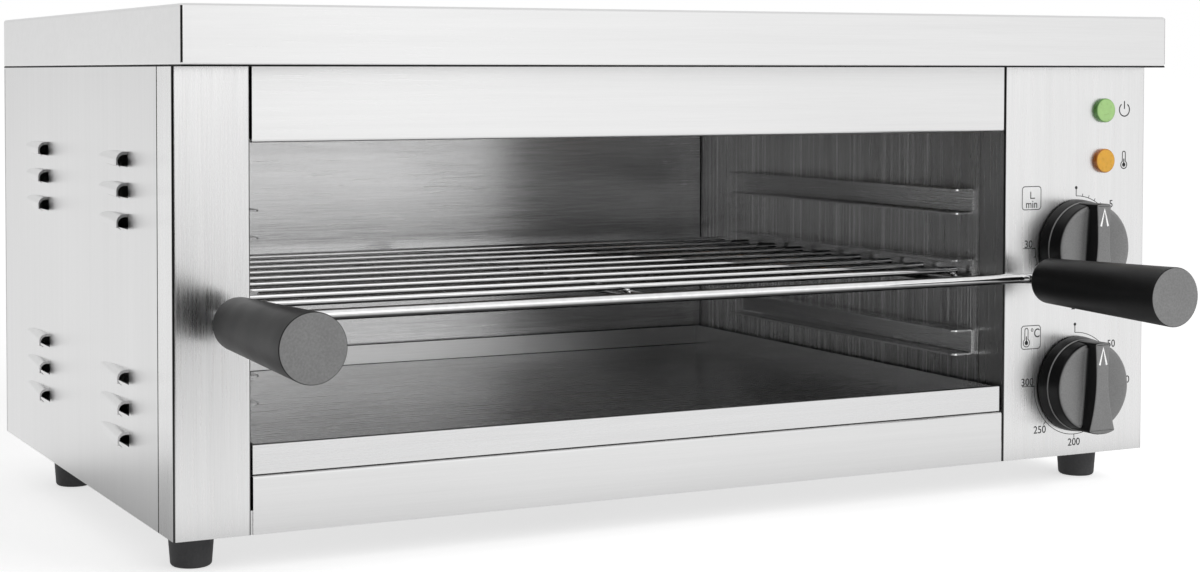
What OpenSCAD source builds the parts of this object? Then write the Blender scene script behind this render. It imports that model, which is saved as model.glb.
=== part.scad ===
// Countertop cheese melter (salamander grill): a folded stainless housing with an open cavity,
// a sliding wire rack with two grips, a pull-out crumb tray and a control compartment at the right.
// Millimetres. X runs to the right, Y to the back, Z up. The origin lies on the surface that the
// feet stand on, in the middle of the whole object's outline.

/* [Housing] */
// Width of the housing
body_w = 610; // [600:5:620]
// Depth of the housing, from the front faces to the back panel
body_d = 354; // [350:2:370]
// Height of the housing, between the feet and the cap
body_h = 231; // [230:1:236]
// Height of the cap's skirt
cap_h = 30; // [26:1:36]
// How far the cap stands out in front of the housing
cap_overhang = 16; // [10:1:24]
// Height of the rubber feet
foot_h = 20; // [16:1:26]
// Thickness of the stainless sheet
sheet = 1; // [0.8:0.1:1.2]
// Outside radius of a fold in the sheet
bend_r = 1.6; // [1.4:0.1:2.4]

/* [Front] */
// Width of the left stile
stile_w = 40; // [36:1:44]
// Width of the control panel
panel_w = 106; // [102:1:110]
// How far the stile and the control panel return along the sides
side_return = 24; // [20:1:28]
// Height of the upper fascia
upper_fascia_h = 37.4; // [36:0.2:40]
// Height of the lower fascia
lower_fascia_h = 29.4; // [28:0.2:30]
// Width of the open seams between the front pieces
seam = 0.9; // [0.6:0.1:1.2]

/* [Louvres] */
// Length of one louvre hood
louvre_len = 56; // [50:1:60]
// Height of a hood's mouth
louvre_h = 6.9; // [6.4:0.1:7.4]
// How far a hood's mouth stands out of the side
louvre_rise = 6.1; // [5.6:0.1:6.4]
// Height from one louvre to the next in a group
louvre_pitch = 16.1; // [14:0.1:18]

/* [Runners] */
// Height of a rack runner
runner_h = 15; // [13:0.5:17]
// Depth of a runner's flanges
runner_flange = 15; // [13:0.5:16]
// Length of a rack runner
runner_len = 250; // [220:5:280]
// Height from one rack level to the next
runner_pitch = 42; // [40:1:42]

/* [Rack] */
// Diameter of the front rod
front_rod_d = 6; // [5:0.5:7]
// Diameter of the side and middle rods
side_rod_d = 5; // [4:0.5:5]
// Diameter of the cross wires
cross_wire_d = 4; // [3:0.5:4]
// Number of cross wires
cross_wire_count = 9; // [7:1:10]
// Distance from one cross wire to the next
cross_wire_pitch = 32.6; // [28:0.2:33]

/* [Grips] */
// Diameter of a grip at its rear end
grip_rear_d = 26; // [22:1:27]
// Diameter of a grip at its front face
grip_front_d = 32.4; // [28:0.4:34]
// Distance from the front faces to the front of the grips
grip_reach = 122.8; // [110:1:130]
// Length of a grip
grip_len = 101.8; // [90:1:104]

/* [Controls] */
// Diameter of a knob's skirt
knob_d = 56.8; // [50:0.2:60]
// Height of a knob's finger bar above the front faces
knob_reach = 24.3; // [20:0.5:26]
// Width of a knob's finger bar at its waist
knob_waist = 7.9; // [7:0.1:9]
// Distance of the knob axes from the right side
dial_inset = 52.5; // [50:0.5:54]
// Height of the lower dial above the bottom of the housing
lower_dial_h = 42.7; // [42:0.1:46]
// Height of the upper dial above the lower one
dial_pitch = 81.5; // [76:0.5:84]
// Radius of a lamp lens
lamp_r = 7.2; // [6:0.2:8]
// Distance of the lamps from the right side
lamp_inset = 32.5; // [28:0.5:36]
// Depth of the upper lamp's centre below the cap
upper_lamp_drop = 25.7; // [24:0.1:28]
// Depth of the lower lamp's centre below the cap
lower_lamp_drop = 55.8; // [50:0.1:60]

/* [Heating] */
// Diameter of the heating tubes
element_d = 8.2; // [6.5:0.1:8.5]
// Distance between the two legs of an element
element_gap = 52; // [44:1:60]

/* [Hidden] */

$fn = 48;
eps = 0.01;

// Colours
steel = "gainsboro";
steel_inner = "silver";
black_plastic = [0.12, 0.12, 0.13];
grip_plastic = [0.16, 0.16, 0.17];
rubber = [0.09, 0.09, 0.10];
zinc = [0.70, 0.70, 0.66];
ceramic = [0.93, 0.91, 0.86];

// Levels and faces of the housing; Y is counted from its front faces
half_w = body_w / 2;
body_bottom = foot_h;
body_top = foot_h + body_h;
cap_d = body_d + cap_overhang;
cap_return = 12;
cap_front_return = cap_overhang + 14;
back_y = body_d - sheet;
flange = 12;

// The cable gland is the rearmost thing, so it sets the middle of the outline with the grips
gland_reach = 17;
front_y = -(body_d + gland_reach - grip_reach) / 2;

// Cavity: the space between the two side walls, behind the front opening
cavity_left = -half_w + stile_w;
cavity_right = half_w - panel_w;
cavity_mid = (cavity_left + cavity_right) / 2;
cavity_w = cavity_right - cavity_left;
cavity_front = 22.5;
cavity_back = body_d - 16;
wall_bottom = body_bottom + sheet;
wall_top = body_top - 7;
fascia_x = cavity_left + seam;
fascia_w = cavity_w - 2 * seam;
opening_top = body_top - upper_fascia_h;
opening_bottom = body_bottom + lower_fascia_h;

// Crumb tray, on two rails
tray_bottom = opening_bottom + 0.6;
tray_h = 14.4;
lip_h = 15;
lip_x = cavity_left + 0.7;
lip_w = cavity_w - 3.4;
pan_inset = 2;
pan_d = cavity_back - 2;
rail_clearance = 0.3;
rail_top = tray_bottom - rail_clearance;
rail_w = 15;

// Runners
runner_front = 28;
runner_low = tray_bottom + 29.6;

// Rack: its side rods slide on the lower flanges of the middle runners
rack_level = runner_low + runner_pitch;
side_rod_r = side_rod_d / 2;
front_rod_r = front_rod_d / 2;
cross_wire_r = cross_wire_d / 2;
weld_sink = 0.15;
side_rod_z = rack_level + sheet + 0.3 + side_rod_r;
cross_wire_z = side_rod_z + side_rod_r + cross_wire_r - weld_sink;
front_rod_z = side_rod_z + 2.3;
front_rod_y = -4;
side_rod_x = cavity_w / 2 - 8;
first_wire_y = 37.2;
rack_back = first_wire_y + (cross_wire_count - 1) * cross_wire_pitch;
grip_x = cavity_w / 2 + 14.3;
grip_rear = grip_reach - grip_len;
rod_bend = 8;
rod_in_grip = 60;

// Controls
dial_x = half_w - dial_inset;
thermostat_z = body_bottom + lower_dial_h;
timer_z = thermostat_z + dial_pitch;
lamp_x = half_w - lamp_inset;
lamp_z = [body_top - upper_lamp_drop, body_top - lower_lamp_drop];
knob_gap = 1.2;
skirt_y = 8.1;
rim_y = 17;
rim_r = 26.2;
bar_end_r = 26.8;
waist_up = 3.8;
bar_bow = [133, 86];
shaft_r = 3;
shaft_flat = 2.1;
shaft_fit = 0.05;
nose_r = 4.8;
screw_spacing = 28;
switch_d = 36;

// Heating
element_r = element_d / 2;
element_z = opening_top + 12.6;
element_y = [94, 232];
element_left = cavity_left + 36;
reflector_top = wall_top - sheet;
hanger_x = [cavity_left + 130, cavity_right - 120];

// Thermostat bulb: below the elements, between their legs, on the right wall of the cavity
bulb_x = cavity_right - 9;
bulb_z = element_z - 9;
bulb_y = [130, 196];
bulb_r = 3;
capillary_y = 46;
capillary_r = 0.9;

// Things at the back and below
gland_pos = [dial_x, body_bottom + 40];
gland_bore_r = 4.25;
gland_thread_r = 8;
foot_r = 12;
foot_x = half_w - 20;
foot_y = [35, 265];
screw_r = 2.4;
back_screw_x = half_w - 6;
back_screw_z = [body_bottom + 30, (body_bottom + body_top) / 2, body_top - 22];
back_screw_r = 1.65;
block_pos = [dial_x - 28, 296];
block_pole = 16;
wire_r = 1.5;

// ---------- shared shapes ----------

// Moves a shape from the housing's own frame, with Y = 0 at the front faces, to the object's frame
module seat() {
    translate([0, front_y, 0]) children();
}

// A w by d rectangle whose two corners on the near edge are rounded
module folded_block(w, d, r) {
    translate([r, 0]) square([w - 2 * r, d]);
    translate([0, r]) square([w, d - r]);
    for (x = [r, w - r]) translate([x, r]) circle(r);
}

// A w by d rectangle with all four corners rounded, its lower left corner at the origin
module rounded_block(w, d, r) {
    translate([r, 0]) square([w - 2 * r, d]);
    translate([0, r]) square([w, d - 2 * r]);
    for (x = [r, w - r]) for (y = [r, d - r]) translate([x, y]) circle(r);
}

// A rectangle with its corner at the origin rounded
module corner_block(w, d, r) {
    translate([r, 0]) square([w - r, d]);
    translate([0, r]) square([w, d - r]);
    translate([r, r]) circle(r);
}

// U-shaped section of folded sheet, open at the far edge
module folded_channel(w, d) {
    difference() {
        folded_block(w, d, bend_r);
        translate([sheet, sheet]) folded_block(w - 2 * sheet, d, bend_r - sheet);
    }
}

// L-shaped section of folded sheet with its corner at the origin
module folded_angle(w, d) {
    difference() {
        corner_block(w, d, bend_r);
        translate([sheet, sheet]) corner_block(w, d, bend_r - sheet);
    }
}

// Extrudes a section drawn in Y and Z along X
module along_x(x, length) {
    translate([x, 0, 0]) rotate([90, 0, 90]) linear_extrude(length) children();
}

// Extrudes a section drawn in X and Z along Y
module along_y(y, length) {
    translate([0, y + length, 0]) rotate([90, 0, 0]) linear_extrude(length) children();
}

// A cylinder along Y that starts at y and grows towards the back
module bar_y(y, length, r) {
    translate([0, y, 0]) rotate([-90, 0, 0]) cylinder(h = length, r = r);
}

// A cylinder along X
module bar_x(x, length, r) {
    translate([x, 0, 0]) rotate([0, 90, 0]) cylinder(h = length, r = r);
}

function unit(v) = v / norm(v);

// A straight round rod from one point to another
module rod(from, to, r) {
    run = to - from;
    turn = atan2(run.y, run.x);
    lean = acos(run.z / norm(run));
    translate(from) rotate([0, lean, turn]) cylinder(h = norm(run), r = r);
}

// A quarter bend round the corner of a path; back and ahead point to the path's two neighbours
module elbow(corner, back, ahead, r, bend) {
    side = cross(ahead, back);
    centre = corner + bend * (back + ahead);
    multmatrix([
        [-ahead.x, -back.x, side.x, centre.x],
        [-ahead.y, -back.y, side.y, centre.y],
        [-ahead.z, -back.z, side.z, centre.z],
        [0, 0, 0, 1]
    ])
        rotate_extrude(angle = 90) translate([bend, 0]) circle(r);
}

// A rod that follows a path of square corners, each rounded to the bend radius
module bent_rod(path, r, bend) {
    last = len(path) - 1;
    for (i = [0 : last - 1]) {
        ahead = unit(path[i + 1] - path[i]);
        from = path[i] + (i == 0 ? 0 : bend) * ahead;
        to = path[i + 1] - (i == last - 1 ? 0 : bend) * ahead;
        rod(from, to, r);
    }
    for (i = [1 : last - 1])
        elbow(path[i], unit(path[i - 1] - path[i]), unit(path[i + 1] - path[i]), r, bend);
}

// A screw head with a slot, its axis along Z and its seat at z = 0
module pan_head(r, h) {
    difference() {
        cylinder(h = h, r = r);
        translate([-r, -0.5, h - 0.9]) cube([2 * r, 1, 1]);
    }
}

// ---------- outer housing ----------

// Lid with a skirt all round and flanges turned in under it; both folds of the skirt are round
module top_cap() {
    color(steel) seat() difference() {
        intersection() {
            along_y(-cap_overhang, cap_d) translate([-half_w, body_top]) rounded_block(body_w, cap_h, bend_r);
            along_x(-half_w, body_w) translate([-cap_overhang, body_top]) rounded_block(cap_d, cap_h, bend_r);
        }
        translate([-half_w + sheet, -cap_overhang + sheet, body_top + sheet])
            cube([body_w - 2 * sheet, cap_d - 2 * sheet, cap_h - 2 * sheet]);
        translate([-half_w + cap_return, -cap_overhang + cap_front_return, body_top - 1])
            cube([body_w - 2 * cap_return, cap_d - cap_front_return - cap_return, 3]);
        // open seam where a side skirt meets the front skirt
        for (x = [-half_w - 1, half_w - sheet - 1])
            translate([x, -cap_overhang + sheet, body_top + bend_r])
                cube([sheet + 2, 0.5, cap_h - 2 * bend_r]);
    }
}

// Cross-section of a louvre hood with the side at X = 0 and its floor at Y = 0: a flat floor and an
// upright flank that bends over into a round top
module louvre_section(reach, top, floor, r) {
    translate([-10, floor]) square([10 + reach, top - r - floor]);
    translate([-10, floor]) square([10 + reach - r, top - floor]);
    translate([reach - r, top - r]) circle(r);
}

// A louvre hood's body, which sinks into the side towards the back; its mouth is at y = 0
module louvre_body(reach, top, floor, r, front) {
    slope = asin(louvre_rise / louvre_len);
    intersection() {
        rotate([0, 0, -slope]) along_y(-10, louvre_len + 40) mirror([1, 0])
            louvre_section(reach, top, floor, r);
        translate([-20, front, -1]) cube([30, louvre_len + 20, 12]);
    }
}

// Places a shape at every louvre of a side: two columns, an upper and a lower group of three
module at_louvres() {
    floor_drops = [50.6, 163.2];
    for (y = [75.8, 241.6])
        for (drop = floor_drops)
            for (i = [0 : 2])
                translate([-half_w, y, body_top - drop - i * louvre_pitch])
                    children();
}

// Side of the housing, drawn as the left one: folded at the back and the top
module side_panel() {
    start = side_return + seam / 2;
    length = back_y - start;
    wall = 0.8;
    difference() {
        union() {
            translate([-half_w, back_y, body_bottom]) rotate([0, 0, -90])
                linear_extrude(body_h) folded_angle(length, flange);
            translate([-half_w, start, body_top - sheet]) cube([flange, length, sheet]);
            at_louvres() intersection() {
                louvre_body(louvre_rise, louvre_h, 0, 4.2, 0);
                translate([-20, -1, -1]) cube([20 + sheet, louvre_len + 30, 12]);
            }
        }
        at_louvres() louvre_body(louvre_rise - wall, louvre_h - 1.5, wall, 3.4, -0.01);
        at_back_screws() bar_y(back_y - 3, 4, back_screw_r + 0.05);
    }
}

module left_side_panel() {
    color(steel) seat() side_panel();
}

module right_side_panel() {
    color(steel) seat() mirror([1, 0, 0]) side_panel();
}

// Places a shape on each of the back panel's screw axes
module at_back_screws() {
    for (x = [-back_screw_x, back_screw_x]) for (z = back_screw_z) translate([x, 0, z]) children();
}

module back_panel() {
    slot_w = 46;
    slot_h = 4;
    slot_pitch = 11;
    color(steel) seat() difference() {
        translate([-half_w, back_y, body_bottom]) cube([body_w, sheet, body_h]);
        translate([gland_pos.x, 0, gland_pos.y]) bar_y(back_y - 1, sheet + 2, gland_thread_r + 0.2);
        at_back_screws() bar_y(back_y - 1, sheet + 2, back_screw_r + 0.05);
        // air slots of the control compartment
        for (i = [0 : 5])
            translate([dial_x - slot_w / 2, back_y - 1, body_top - 40 - i * slot_pitch])
                cube([slot_w, sheet + 2, slot_h]);
    }
}

module back_screws() {
    color(zinc) seat() at_back_screws() {
        translate([0, body_d, 0]) rotate([-90, 0, 0]) pan_head(3.4, 2);
        bar_y(body_d - 8, 8 + eps, back_screw_r);
    }
}

// Floor of the housing with turned-up edges
module bottom_plate() {
    inner = half_w - sheet;
    slot_pitch = 12;
    color(steel_inner) seat() difference() {
        translate([-inner, sheet, body_bottom]) cube([2 * inner, back_y - 2 * sheet, flange]);
        translate([-inner + sheet, 2 * sheet, body_bottom + sheet])
            cube([2 * inner - 2 * sheet, back_y - 4 * sheet, flange]);
        for (x = [-foot_x, foot_x]) for (y = foot_y)
            translate([x, y, body_bottom - 1]) cylinder(h = 4, r = screw_r + 0.1);
        // air slots under the control compartment
        for (i = [0 : 7])
            translate([dial_x - 22, 100 + i * slot_pitch, body_bottom - 1]) cube([44, 4, 3]);
    }
}

// Tab that reaches behind the side panel and closes the seam, drawn for the left side
module side_tab() {
    tab = 15;
    tab_bottom = body_bottom + flange + 2;
    tab_h = body_h - flange - 8;
    translate([-half_w, side_return - sheet, tab_bottom]) cube([2 * sheet, sheet, tab_h]);
    translate([-half_w + sheet, side_return - sheet, tab_bottom]) cube([sheet, tab, tab_h]);
}

// Clears the inner return of a front piece above the bottom plate's edge
module inner_return_cut(x) {
    translate([x, sheet + eps, body_bottom - 1]) cube([3, side_return, flange + 2]);
}

module left_stile() {
    color(steel) seat() difference() {
        union() {
            translate([-half_w, 0, body_bottom]) linear_extrude(body_h) folded_channel(stile_w, side_return);
            side_tab();
        }
        translate([cavity_left - 2, cavity_front - 0.5, body_bottom - 1]) cube([4, side_return, body_h + 2]);
        inner_return_cut(cavity_left - 1.5);
    }
}

module control_panel() {
    color(steel) seat() difference() {
        union() {
            translate([cavity_right, 0, body_bottom]) linear_extrude(body_h)
                folded_channel(panel_w, side_return);
            mirror([1, 0, 0]) side_tab();
        }
        translate([cavity_right - 2, cavity_front - 0.5, body_bottom - 1]) cube([4, side_return, body_h + 2]);
        inner_return_cut(cavity_right - 1.5);
        for (z = [timer_z, thermostat_z]) {
            translate([dial_x, 0, z]) bar_y(-1, sheet + 2, nose_r + 0.3);
            for (side = [-1, 1])
                translate([dial_x + side * screw_spacing / 2, 0, z]) bar_y(-1, sheet + 2, 1.8);
        }
        for (z = lamp_z) translate([lamp_x, 0, z]) bar_y(-1, sheet + 2, lamp_r - 1.6);
    }
}

module upper_fascia() {
    color(steel) seat() along_x(fascia_x, fascia_w)
        translate([0, opening_top]) {
            folded_angle(14, upper_fascia_h);
            translate([0, upper_fascia_h - sheet]) square([14, sheet]);
        }
}

module lower_fascia() {
    color(steel) seat() along_x(fascia_x, fascia_w)
        translate([0, opening_bottom]) mirror([0, 1]) folded_angle(14, lower_fascia_h);
}

// ---------- cavity ----------

module cavity_left_wall() {
    color(steel_inner) seat() translate([cavity_left - sheet, cavity_front, wall_bottom])
        cube([sheet, cavity_back - cavity_front, wall_top - wall_bottom]);
}

module cavity_right_wall() {
    color(steel_inner) seat() difference() {
        translate([cavity_right, cavity_front, wall_bottom])
            cube([sheet, cavity_back - cavity_front, wall_top - wall_bottom]);
        for (y = element_y) for (side = [-1, 1])
            translate([0, y + side * element_gap / 2, element_z])
                bar_x(cavity_right - 1, sheet + 2, element_r + 0.3);
        translate([0, capillary_y, bulb_z]) bar_x(cavity_right - 1, sheet + 2, capillary_r + 0.5);
    }
}

module cavity_back_wall() {
    color(steel_inner) seat() translate([cavity_left - sheet, cavity_back, wall_bottom])
        cube([cavity_w + 2 * sheet, sheet, wall_top - wall_bottom]);
}

// Section of the reflector: flanges at the front and the back, slanted sides and a flat top
module reflector_section() {
    low = opening_top + sheet;
    slope = 36;
    front = 2;
    flat = 11;
    outer = [
        [front, low], [front, low + sheet], [front + flat, low + sheet],
        [front + flat + slope, wall_top], [cavity_back - slope, wall_top],
        [cavity_back, low + sheet], [cavity_back, low]
    ];
    inner = [
        [front + flat + 0.4, low], [front + flat + slope + 0.4, reflector_top],
        [cavity_back - slope - 0.4, reflector_top], [cavity_back - 1.4, low]
    ];
    difference() {
        polygon(outer);
        polygon(inner);
    }
}

module reflector() {
    color(steel_inner) seat() along_x(cavity_left, cavity_w) reflector_section();
}

// Angle that carries one edge of the crumb tray, drawn for the right side
module tray_rail() {
    translate([cavity_right, 0, rail_top]) along_y(cavity_front + 1.5, pan_d - cavity_front - 3)
        rotate(180) folded_angle(rail_w, 11);
}

module left_tray_rail() {
    color(steel_inner) seat() translate([2 * cavity_mid, 0, 0]) mirror([1, 0, 0]) tray_rail();
}

module right_tray_rail() {
    color(steel_inner) seat() tray_rail();
}

// Rack runner of a level: a channel with its web on the wall, drawn for the right side
module runner(level) {
    z = runner_low + level * runner_pitch;
    corner = 4;
    intersection() {
        translate([cavity_right, 0, z]) along_y(runner_front, runner_len)
            rotate(90) folded_channel(runner_h, runner_flange);
        translate([cavity_right - runner_flange, runner_front, z - 1]) linear_extrude(runner_h + 2) {
            translate([0, corner]) square([runner_flange, runner_len - 2 * corner]);
            translate([corner, 0]) square([runner_flange - corner, runner_len]);
            for (y = [corner, runner_len - corner]) translate([corner, y]) circle(corner);
        }
    }
}

module left_runner(level) {
    color(steel_inner) seat() translate([2 * cavity_mid, 0, 0]) mirror([1, 0, 0]) runner(level);
}

module right_runner(level) {
    color(steel_inner) seat() runner(level);
}

// ---------- crumb tray ----------

module crumb_tray() {
    color(steel_inner) seat() {
        difference() {
            translate([lip_x + pan_inset, sheet, tray_bottom])
                cube([lip_w - 2 * pan_inset, pan_d - sheet, tray_h]);
            translate([lip_x + pan_inset + sheet, 0, tray_bottom + sheet])
                cube([lip_w - 2 * pan_inset - 2 * sheet, pan_d - sheet, tray_h]);
        }
        // front lip with a hemmed upper edge
        along_x(lip_x, lip_w) translate([0, tray_bottom]) {
            square([sheet, lip_h - sheet]);
            translate([sheet, lip_h - 6]) square([sheet, 5]);
            translate([sheet, lip_h - sheet]) circle(sheet);
        }
    }
}

// ---------- rack ----------

module rack_front_rod() {
    tip = -grip_rear - rod_in_grip;
    color("silver") seat() translate([cavity_mid, 0, front_rod_z]) bent_rod([
        [-grip_x, tip, 0], [-grip_x, front_rod_y, 0], [grip_x, front_rod_y, 0], [grip_x, tip, 0]
    ], front_rod_r, rod_bend);
}

// A rod from front to back; its front end is cut to seat on the front rod
module rack_rod(x) {
    color("silver") seat() difference() {
        translate([x, 0, side_rod_z]) bar_y(front_rod_y, rack_back + 4 - front_rod_y, side_rod_r);
        translate([0, front_rod_y, front_rod_z]) bar_x(x - 10, 20, front_rod_r);
    }
}

module rack_cross_wires() {
    reach = side_rod_x + 3;
    color("silver") seat() for (i = [0 : cross_wire_count - 1])
        translate([0, first_wire_y + i * cross_wire_pitch, cross_wire_z])
            bar_x(cavity_mid - reach, 2 * reach, cross_wire_r);
}

// Tapered grip, revolved about its own axis, with a blind hole for the rod
module grip(x) {
    rear = grip_rear_d / 2;
    front = grip_front_d / 2;
    rear_round = 3;
    front_round = 1;
    outline = concat(
        [[0, 0]],
        [for (a = [-90 : 15 : 0])
            [rear - rear_round + rear_round * cos(a), rear_round + rear_round * sin(a)]],
        [for (a = [0 : 15 : 90])
            [front - front_round + front_round * cos(a), grip_len - front_round + front_round * sin(a)]],
        [[0, grip_len]]
    );
    color(grip_plastic) seat() translate([cavity_mid + x, -grip_rear, front_rod_z]) rotate([90, 0, 0])
        difference() {
            rotate_extrude($fn = 72) polygon(outline);
            translate([0, 0, -1]) cylinder(h = rod_in_grip + 2, r = front_rod_r + 0.05);
        }
}

module left_grip() {
    grip(-grip_x);
}

module right_grip() {
    grip(grip_x);
}

// ---------- heating ----------

module element(y) {
    wall_side = cavity_right + 14;
    color([0.35, 0.34, 0.33]) seat() translate([0, y, element_z]) {
        for (side = [-1, 1]) translate([0, side * element_gap / 2, 0]) {
            bar_x(element_left, wall_side - element_left, element_r);
            bar_x(wall_side, 12, 1.75);
        }
        translate([element_left, 0, 0]) rotate([0, 0, 90])
            rotate_extrude(angle = 180) translate([element_gap / 2, 0]) circle(element_r);
    }
}

// Plates behind the cavity wall that hold the elements' cold ends
module element_flanges() {
    color(zinc) seat() for (y = element_y) difference() {
        translate([cavity_right + sheet, y - element_gap / 2 - 9, element_z - 9])
            cube([1.5, element_gap + 18, 18]);
        for (side = [-1, 1])
            translate([0, y + side * element_gap / 2, element_z])
                bar_x(cavity_right, 4, element_r + 0.05);
    }
}

// Ceramic beads where the terminal pins leave the tubes
module element_beads() {
    color(ceramic) seat() for (y = element_y) for (side = [-1, 1])
        translate([0, y + side * element_gap / 2, element_z]) difference() {
            bar_x(cavity_right + 14, 4, 3.6);
            bar_x(cavity_right + 13, 6, 1.8);
        }
}

// Strips that hang under the reflector and carry both legs of an element
module element_hangers() {
    color(steel_inner) seat() for (x = hanger_x) for (y = element_y) difference() {
        translate([x, y, 0]) {
            translate([0, -element_gap / 2 - 7, element_z - 7])
                cube([sheet, element_gap + 14, reflector_top - element_z + 7]);
            translate([0, -element_gap / 2 - 7, reflector_top - sheet]) cube([12, element_gap + 14, sheet]);
        }
        for (side = [-1, 1])
            translate([0, y + side * element_gap / 2, element_z]) bar_x(x - 1, sheet + 2, element_r + 0.05);
    }
}

// Thermostat bulb with its capillary, which runs through the wall to the thermostat
module sensing_bulb() {
    drop_x = cavity_right + 22;
    color("darkgoldenrod") seat() {
        translate([bulb_x, 0, bulb_z]) bar_y(bulb_y[0], bulb_y[1] - bulb_y[0], bulb_r);
        bent_rod([
            [bulb_x, bulb_y[0], bulb_z], [bulb_x, capillary_y, bulb_z], [drop_x, capillary_y, bulb_z],
            [drop_x, capillary_y, thermostat_z + 12], [dial_x - 10, capillary_y, thermostat_z + 12],
            [dial_x - 10, sheet + switch_d, thermostat_z + 12]
        ], capillary_r, 6);
    }
}

// Two spring clips that hold the bulb on the cavity wall
module bulb_clips() {
    clip_r = bulb_r + 0.9;
    clip_w = 8;
    color(steel_inner) seat() for (y = [135, 185]) translate([0, y - clip_w / 2, bulb_z]) {
        difference() {
            along_y(0, clip_w) {
                translate([bulb_x, 0]) circle(clip_r);
                translate([bulb_x, clip_r - 2]) square([cavity_right - bulb_x, 2]);
            }
            translate([bulb_x, 0, 0]) bar_y(-1, clip_w + 2, bulb_r + 0.05);
        }
        translate([cavity_right - 0.8, 0, clip_r - 2]) cube([0.8, clip_w, 10]);
    }
}

// ---------- controls ----------

// D-shaped shaft section: a round with a flat on its upper side
module shaft_section(r) {
    difference() {
        circle(r);
        translate([-r, shaft_flat]) square([2 * r, r]);
    }
}

// Plan of a knob's finger bar: narrow at its waist above the middle, wider at both ends
module knob_bar_plan() {
    intersection() {
        circle(bar_end_r);
        difference() {
            translate([-12, -30]) square([24, 60]);
            for (side = [-1, 1]) for (end = [0, 1]) intersection() {
                translate([side * (knob_waist / 2 + bar_bow[end]), waist_up]) circle(bar_bow[end]);
                translate([-40, waist_up - end * 40]) square([80, 40]);
            }
        }
    }
}

// Knob with its axis along Z and its back at z = 0: a skirt, a dished face and a finger bar
module knob_shape() {
    skirt_r = knob_d / 2;
    skirt_top = skirt_y - knob_gap;
    rim_top = rim_y - knob_gap;
    bar_top = knob_reach - knob_gap;
    rim_round = 2.2;
    dish_depth = 2.9;
    flat_r = rim_r - rim_round;
    dish_r = (flat_r * flat_r + dish_depth * dish_depth) / (2 * dish_depth);
    difference() {
        union() {
            difference() {
                rotate_extrude($fn = 96) polygon(concat(
                    [[0, 0], [skirt_r, 0], [skirt_r - 0.5, skirt_top - 0.8]],
                    [for (a = [30 : 30 : 90])
                        [skirt_r - 1.3 + 0.8 * cos(a), skirt_top - 0.8 + 0.8 * sin(a)]],
                    [[rim_r + 0.5, skirt_top]],
                    [for (a = [0 : 22.5 : 90])
                        [flat_r + rim_round * cos(a), rim_top - rim_round + rim_round * sin(a)]],
                    [[0, rim_top]]
                ));
                translate([0, 0, rim_top - dish_depth + dish_r]) sphere(dish_r, $fn = 96);
            }
            translate([0, 0, 4]) linear_extrude(bar_top - 4) knob_bar_plan();
        }
        // hollow back with ribs round the hub
        difference() {
            translate([0, 0, -1]) cylinder(h = 8, r = rim_r - 2);
            translate([0, 0, -2]) cylinder(h = 10, r = 7);
            for (a = [0 : 60 : 120]) rotate(a) translate([-skirt_r, -0.8, -2]) cube([2 * skirt_r, 1.6, 10]);
        }
        translate([0, 0, -1]) linear_extrude(13) shaft_section(shaft_r + 0.02);
    }
}

module knob_at(z) {
    color(black_plastic) seat() translate([dial_x, -knob_gap, z]) rotate([90, 0, 0]) knob_shape();
}

// Shaft from inside the switch to the knob; its front part has the flat
module shaft_at(z) {
    flat_len = 10;
    color(zinc) seat() translate([dial_x, -knob_gap - flat_len, z]) difference() {
        bar_y(0, flat_len + knob_gap + 14, shaft_r);
        translate([-shaft_r, -1, shaft_flat]) cube([2 * shaft_r, flat_len + 1, shaft_r]);
    }
}

// Switch body behind the panel with a round nose that the shaft turns in
module switch_at(z, w, h) {
    seat() difference() {
        union() {
            translate([dial_x - w / 2, sheet, z - h / 2]) cube([w, switch_d, h]);
            translate([dial_x, 0, z]) bar_y(0, sheet + eps, nose_r);
            // terminal tabs on the back
            for (x = [-12, -4, 4, 12])
                translate([dial_x + x - 3, sheet + switch_d - eps, z - h / 2 + 5]) cube([6, 8, 0.8]);
        }
        translate([dial_x, 0, z]) bar_y(-1, 17, shaft_r + shaft_fit);
        for (side = [-1, 1])
            translate([dial_x + side * screw_spacing / 2, 0, z]) bar_y(sheet - 1, 9, 1.7);
    }
}

module timer_knob() {
    knob_at(timer_z);
}

module thermostat_knob() {
    knob_at(thermostat_z);
}

module timer_shaft() {
    shaft_at(timer_z);
}

module thermostat_shaft() {
    shaft_at(thermostat_z);
}

module timer_body() {
    color(ceramic) switch_at(timer_z, 46, 46);
}

module thermostat_body() {
    color(black_plastic) switch_at(thermostat_z, 44, 40);
}

// Two screws behind each knob hold its switch to the panel
module control_screws() {
    color(zinc) seat() for (z = [timer_z, thermostat_z]) for (side = [-1, 1])
        translate([dial_x + side * screw_spacing / 2, 0, z]) {
            rotate([90, 0, 0]) cylinder(h = 0.8, r = 3);
            bar_y(-eps, 7, 1.65);
        }
}

// Lamp lens: a flat button with a soft edge
module lens(i) {
    rise = 2.8;
    soft = 0.5;
    seat() translate([lamp_x, 0, lamp_z[i]]) rotate([90, 0, 0])
        rotate_extrude($fn = 72) polygon(concat(
            [[0, 0], [lamp_r, 0]],
            [for (a = [0 : 30 : 90]) [lamp_r - soft + soft * cos(a), rise - soft + soft * sin(a)]],
            [[0, rise]]
        ));
}

module green_lens() {
    color([0.55, 0.80, 0.42]) lens(0);
}

module orange_lens() {
    color([0.93, 0.62, 0.18]) lens(1);
}

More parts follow.
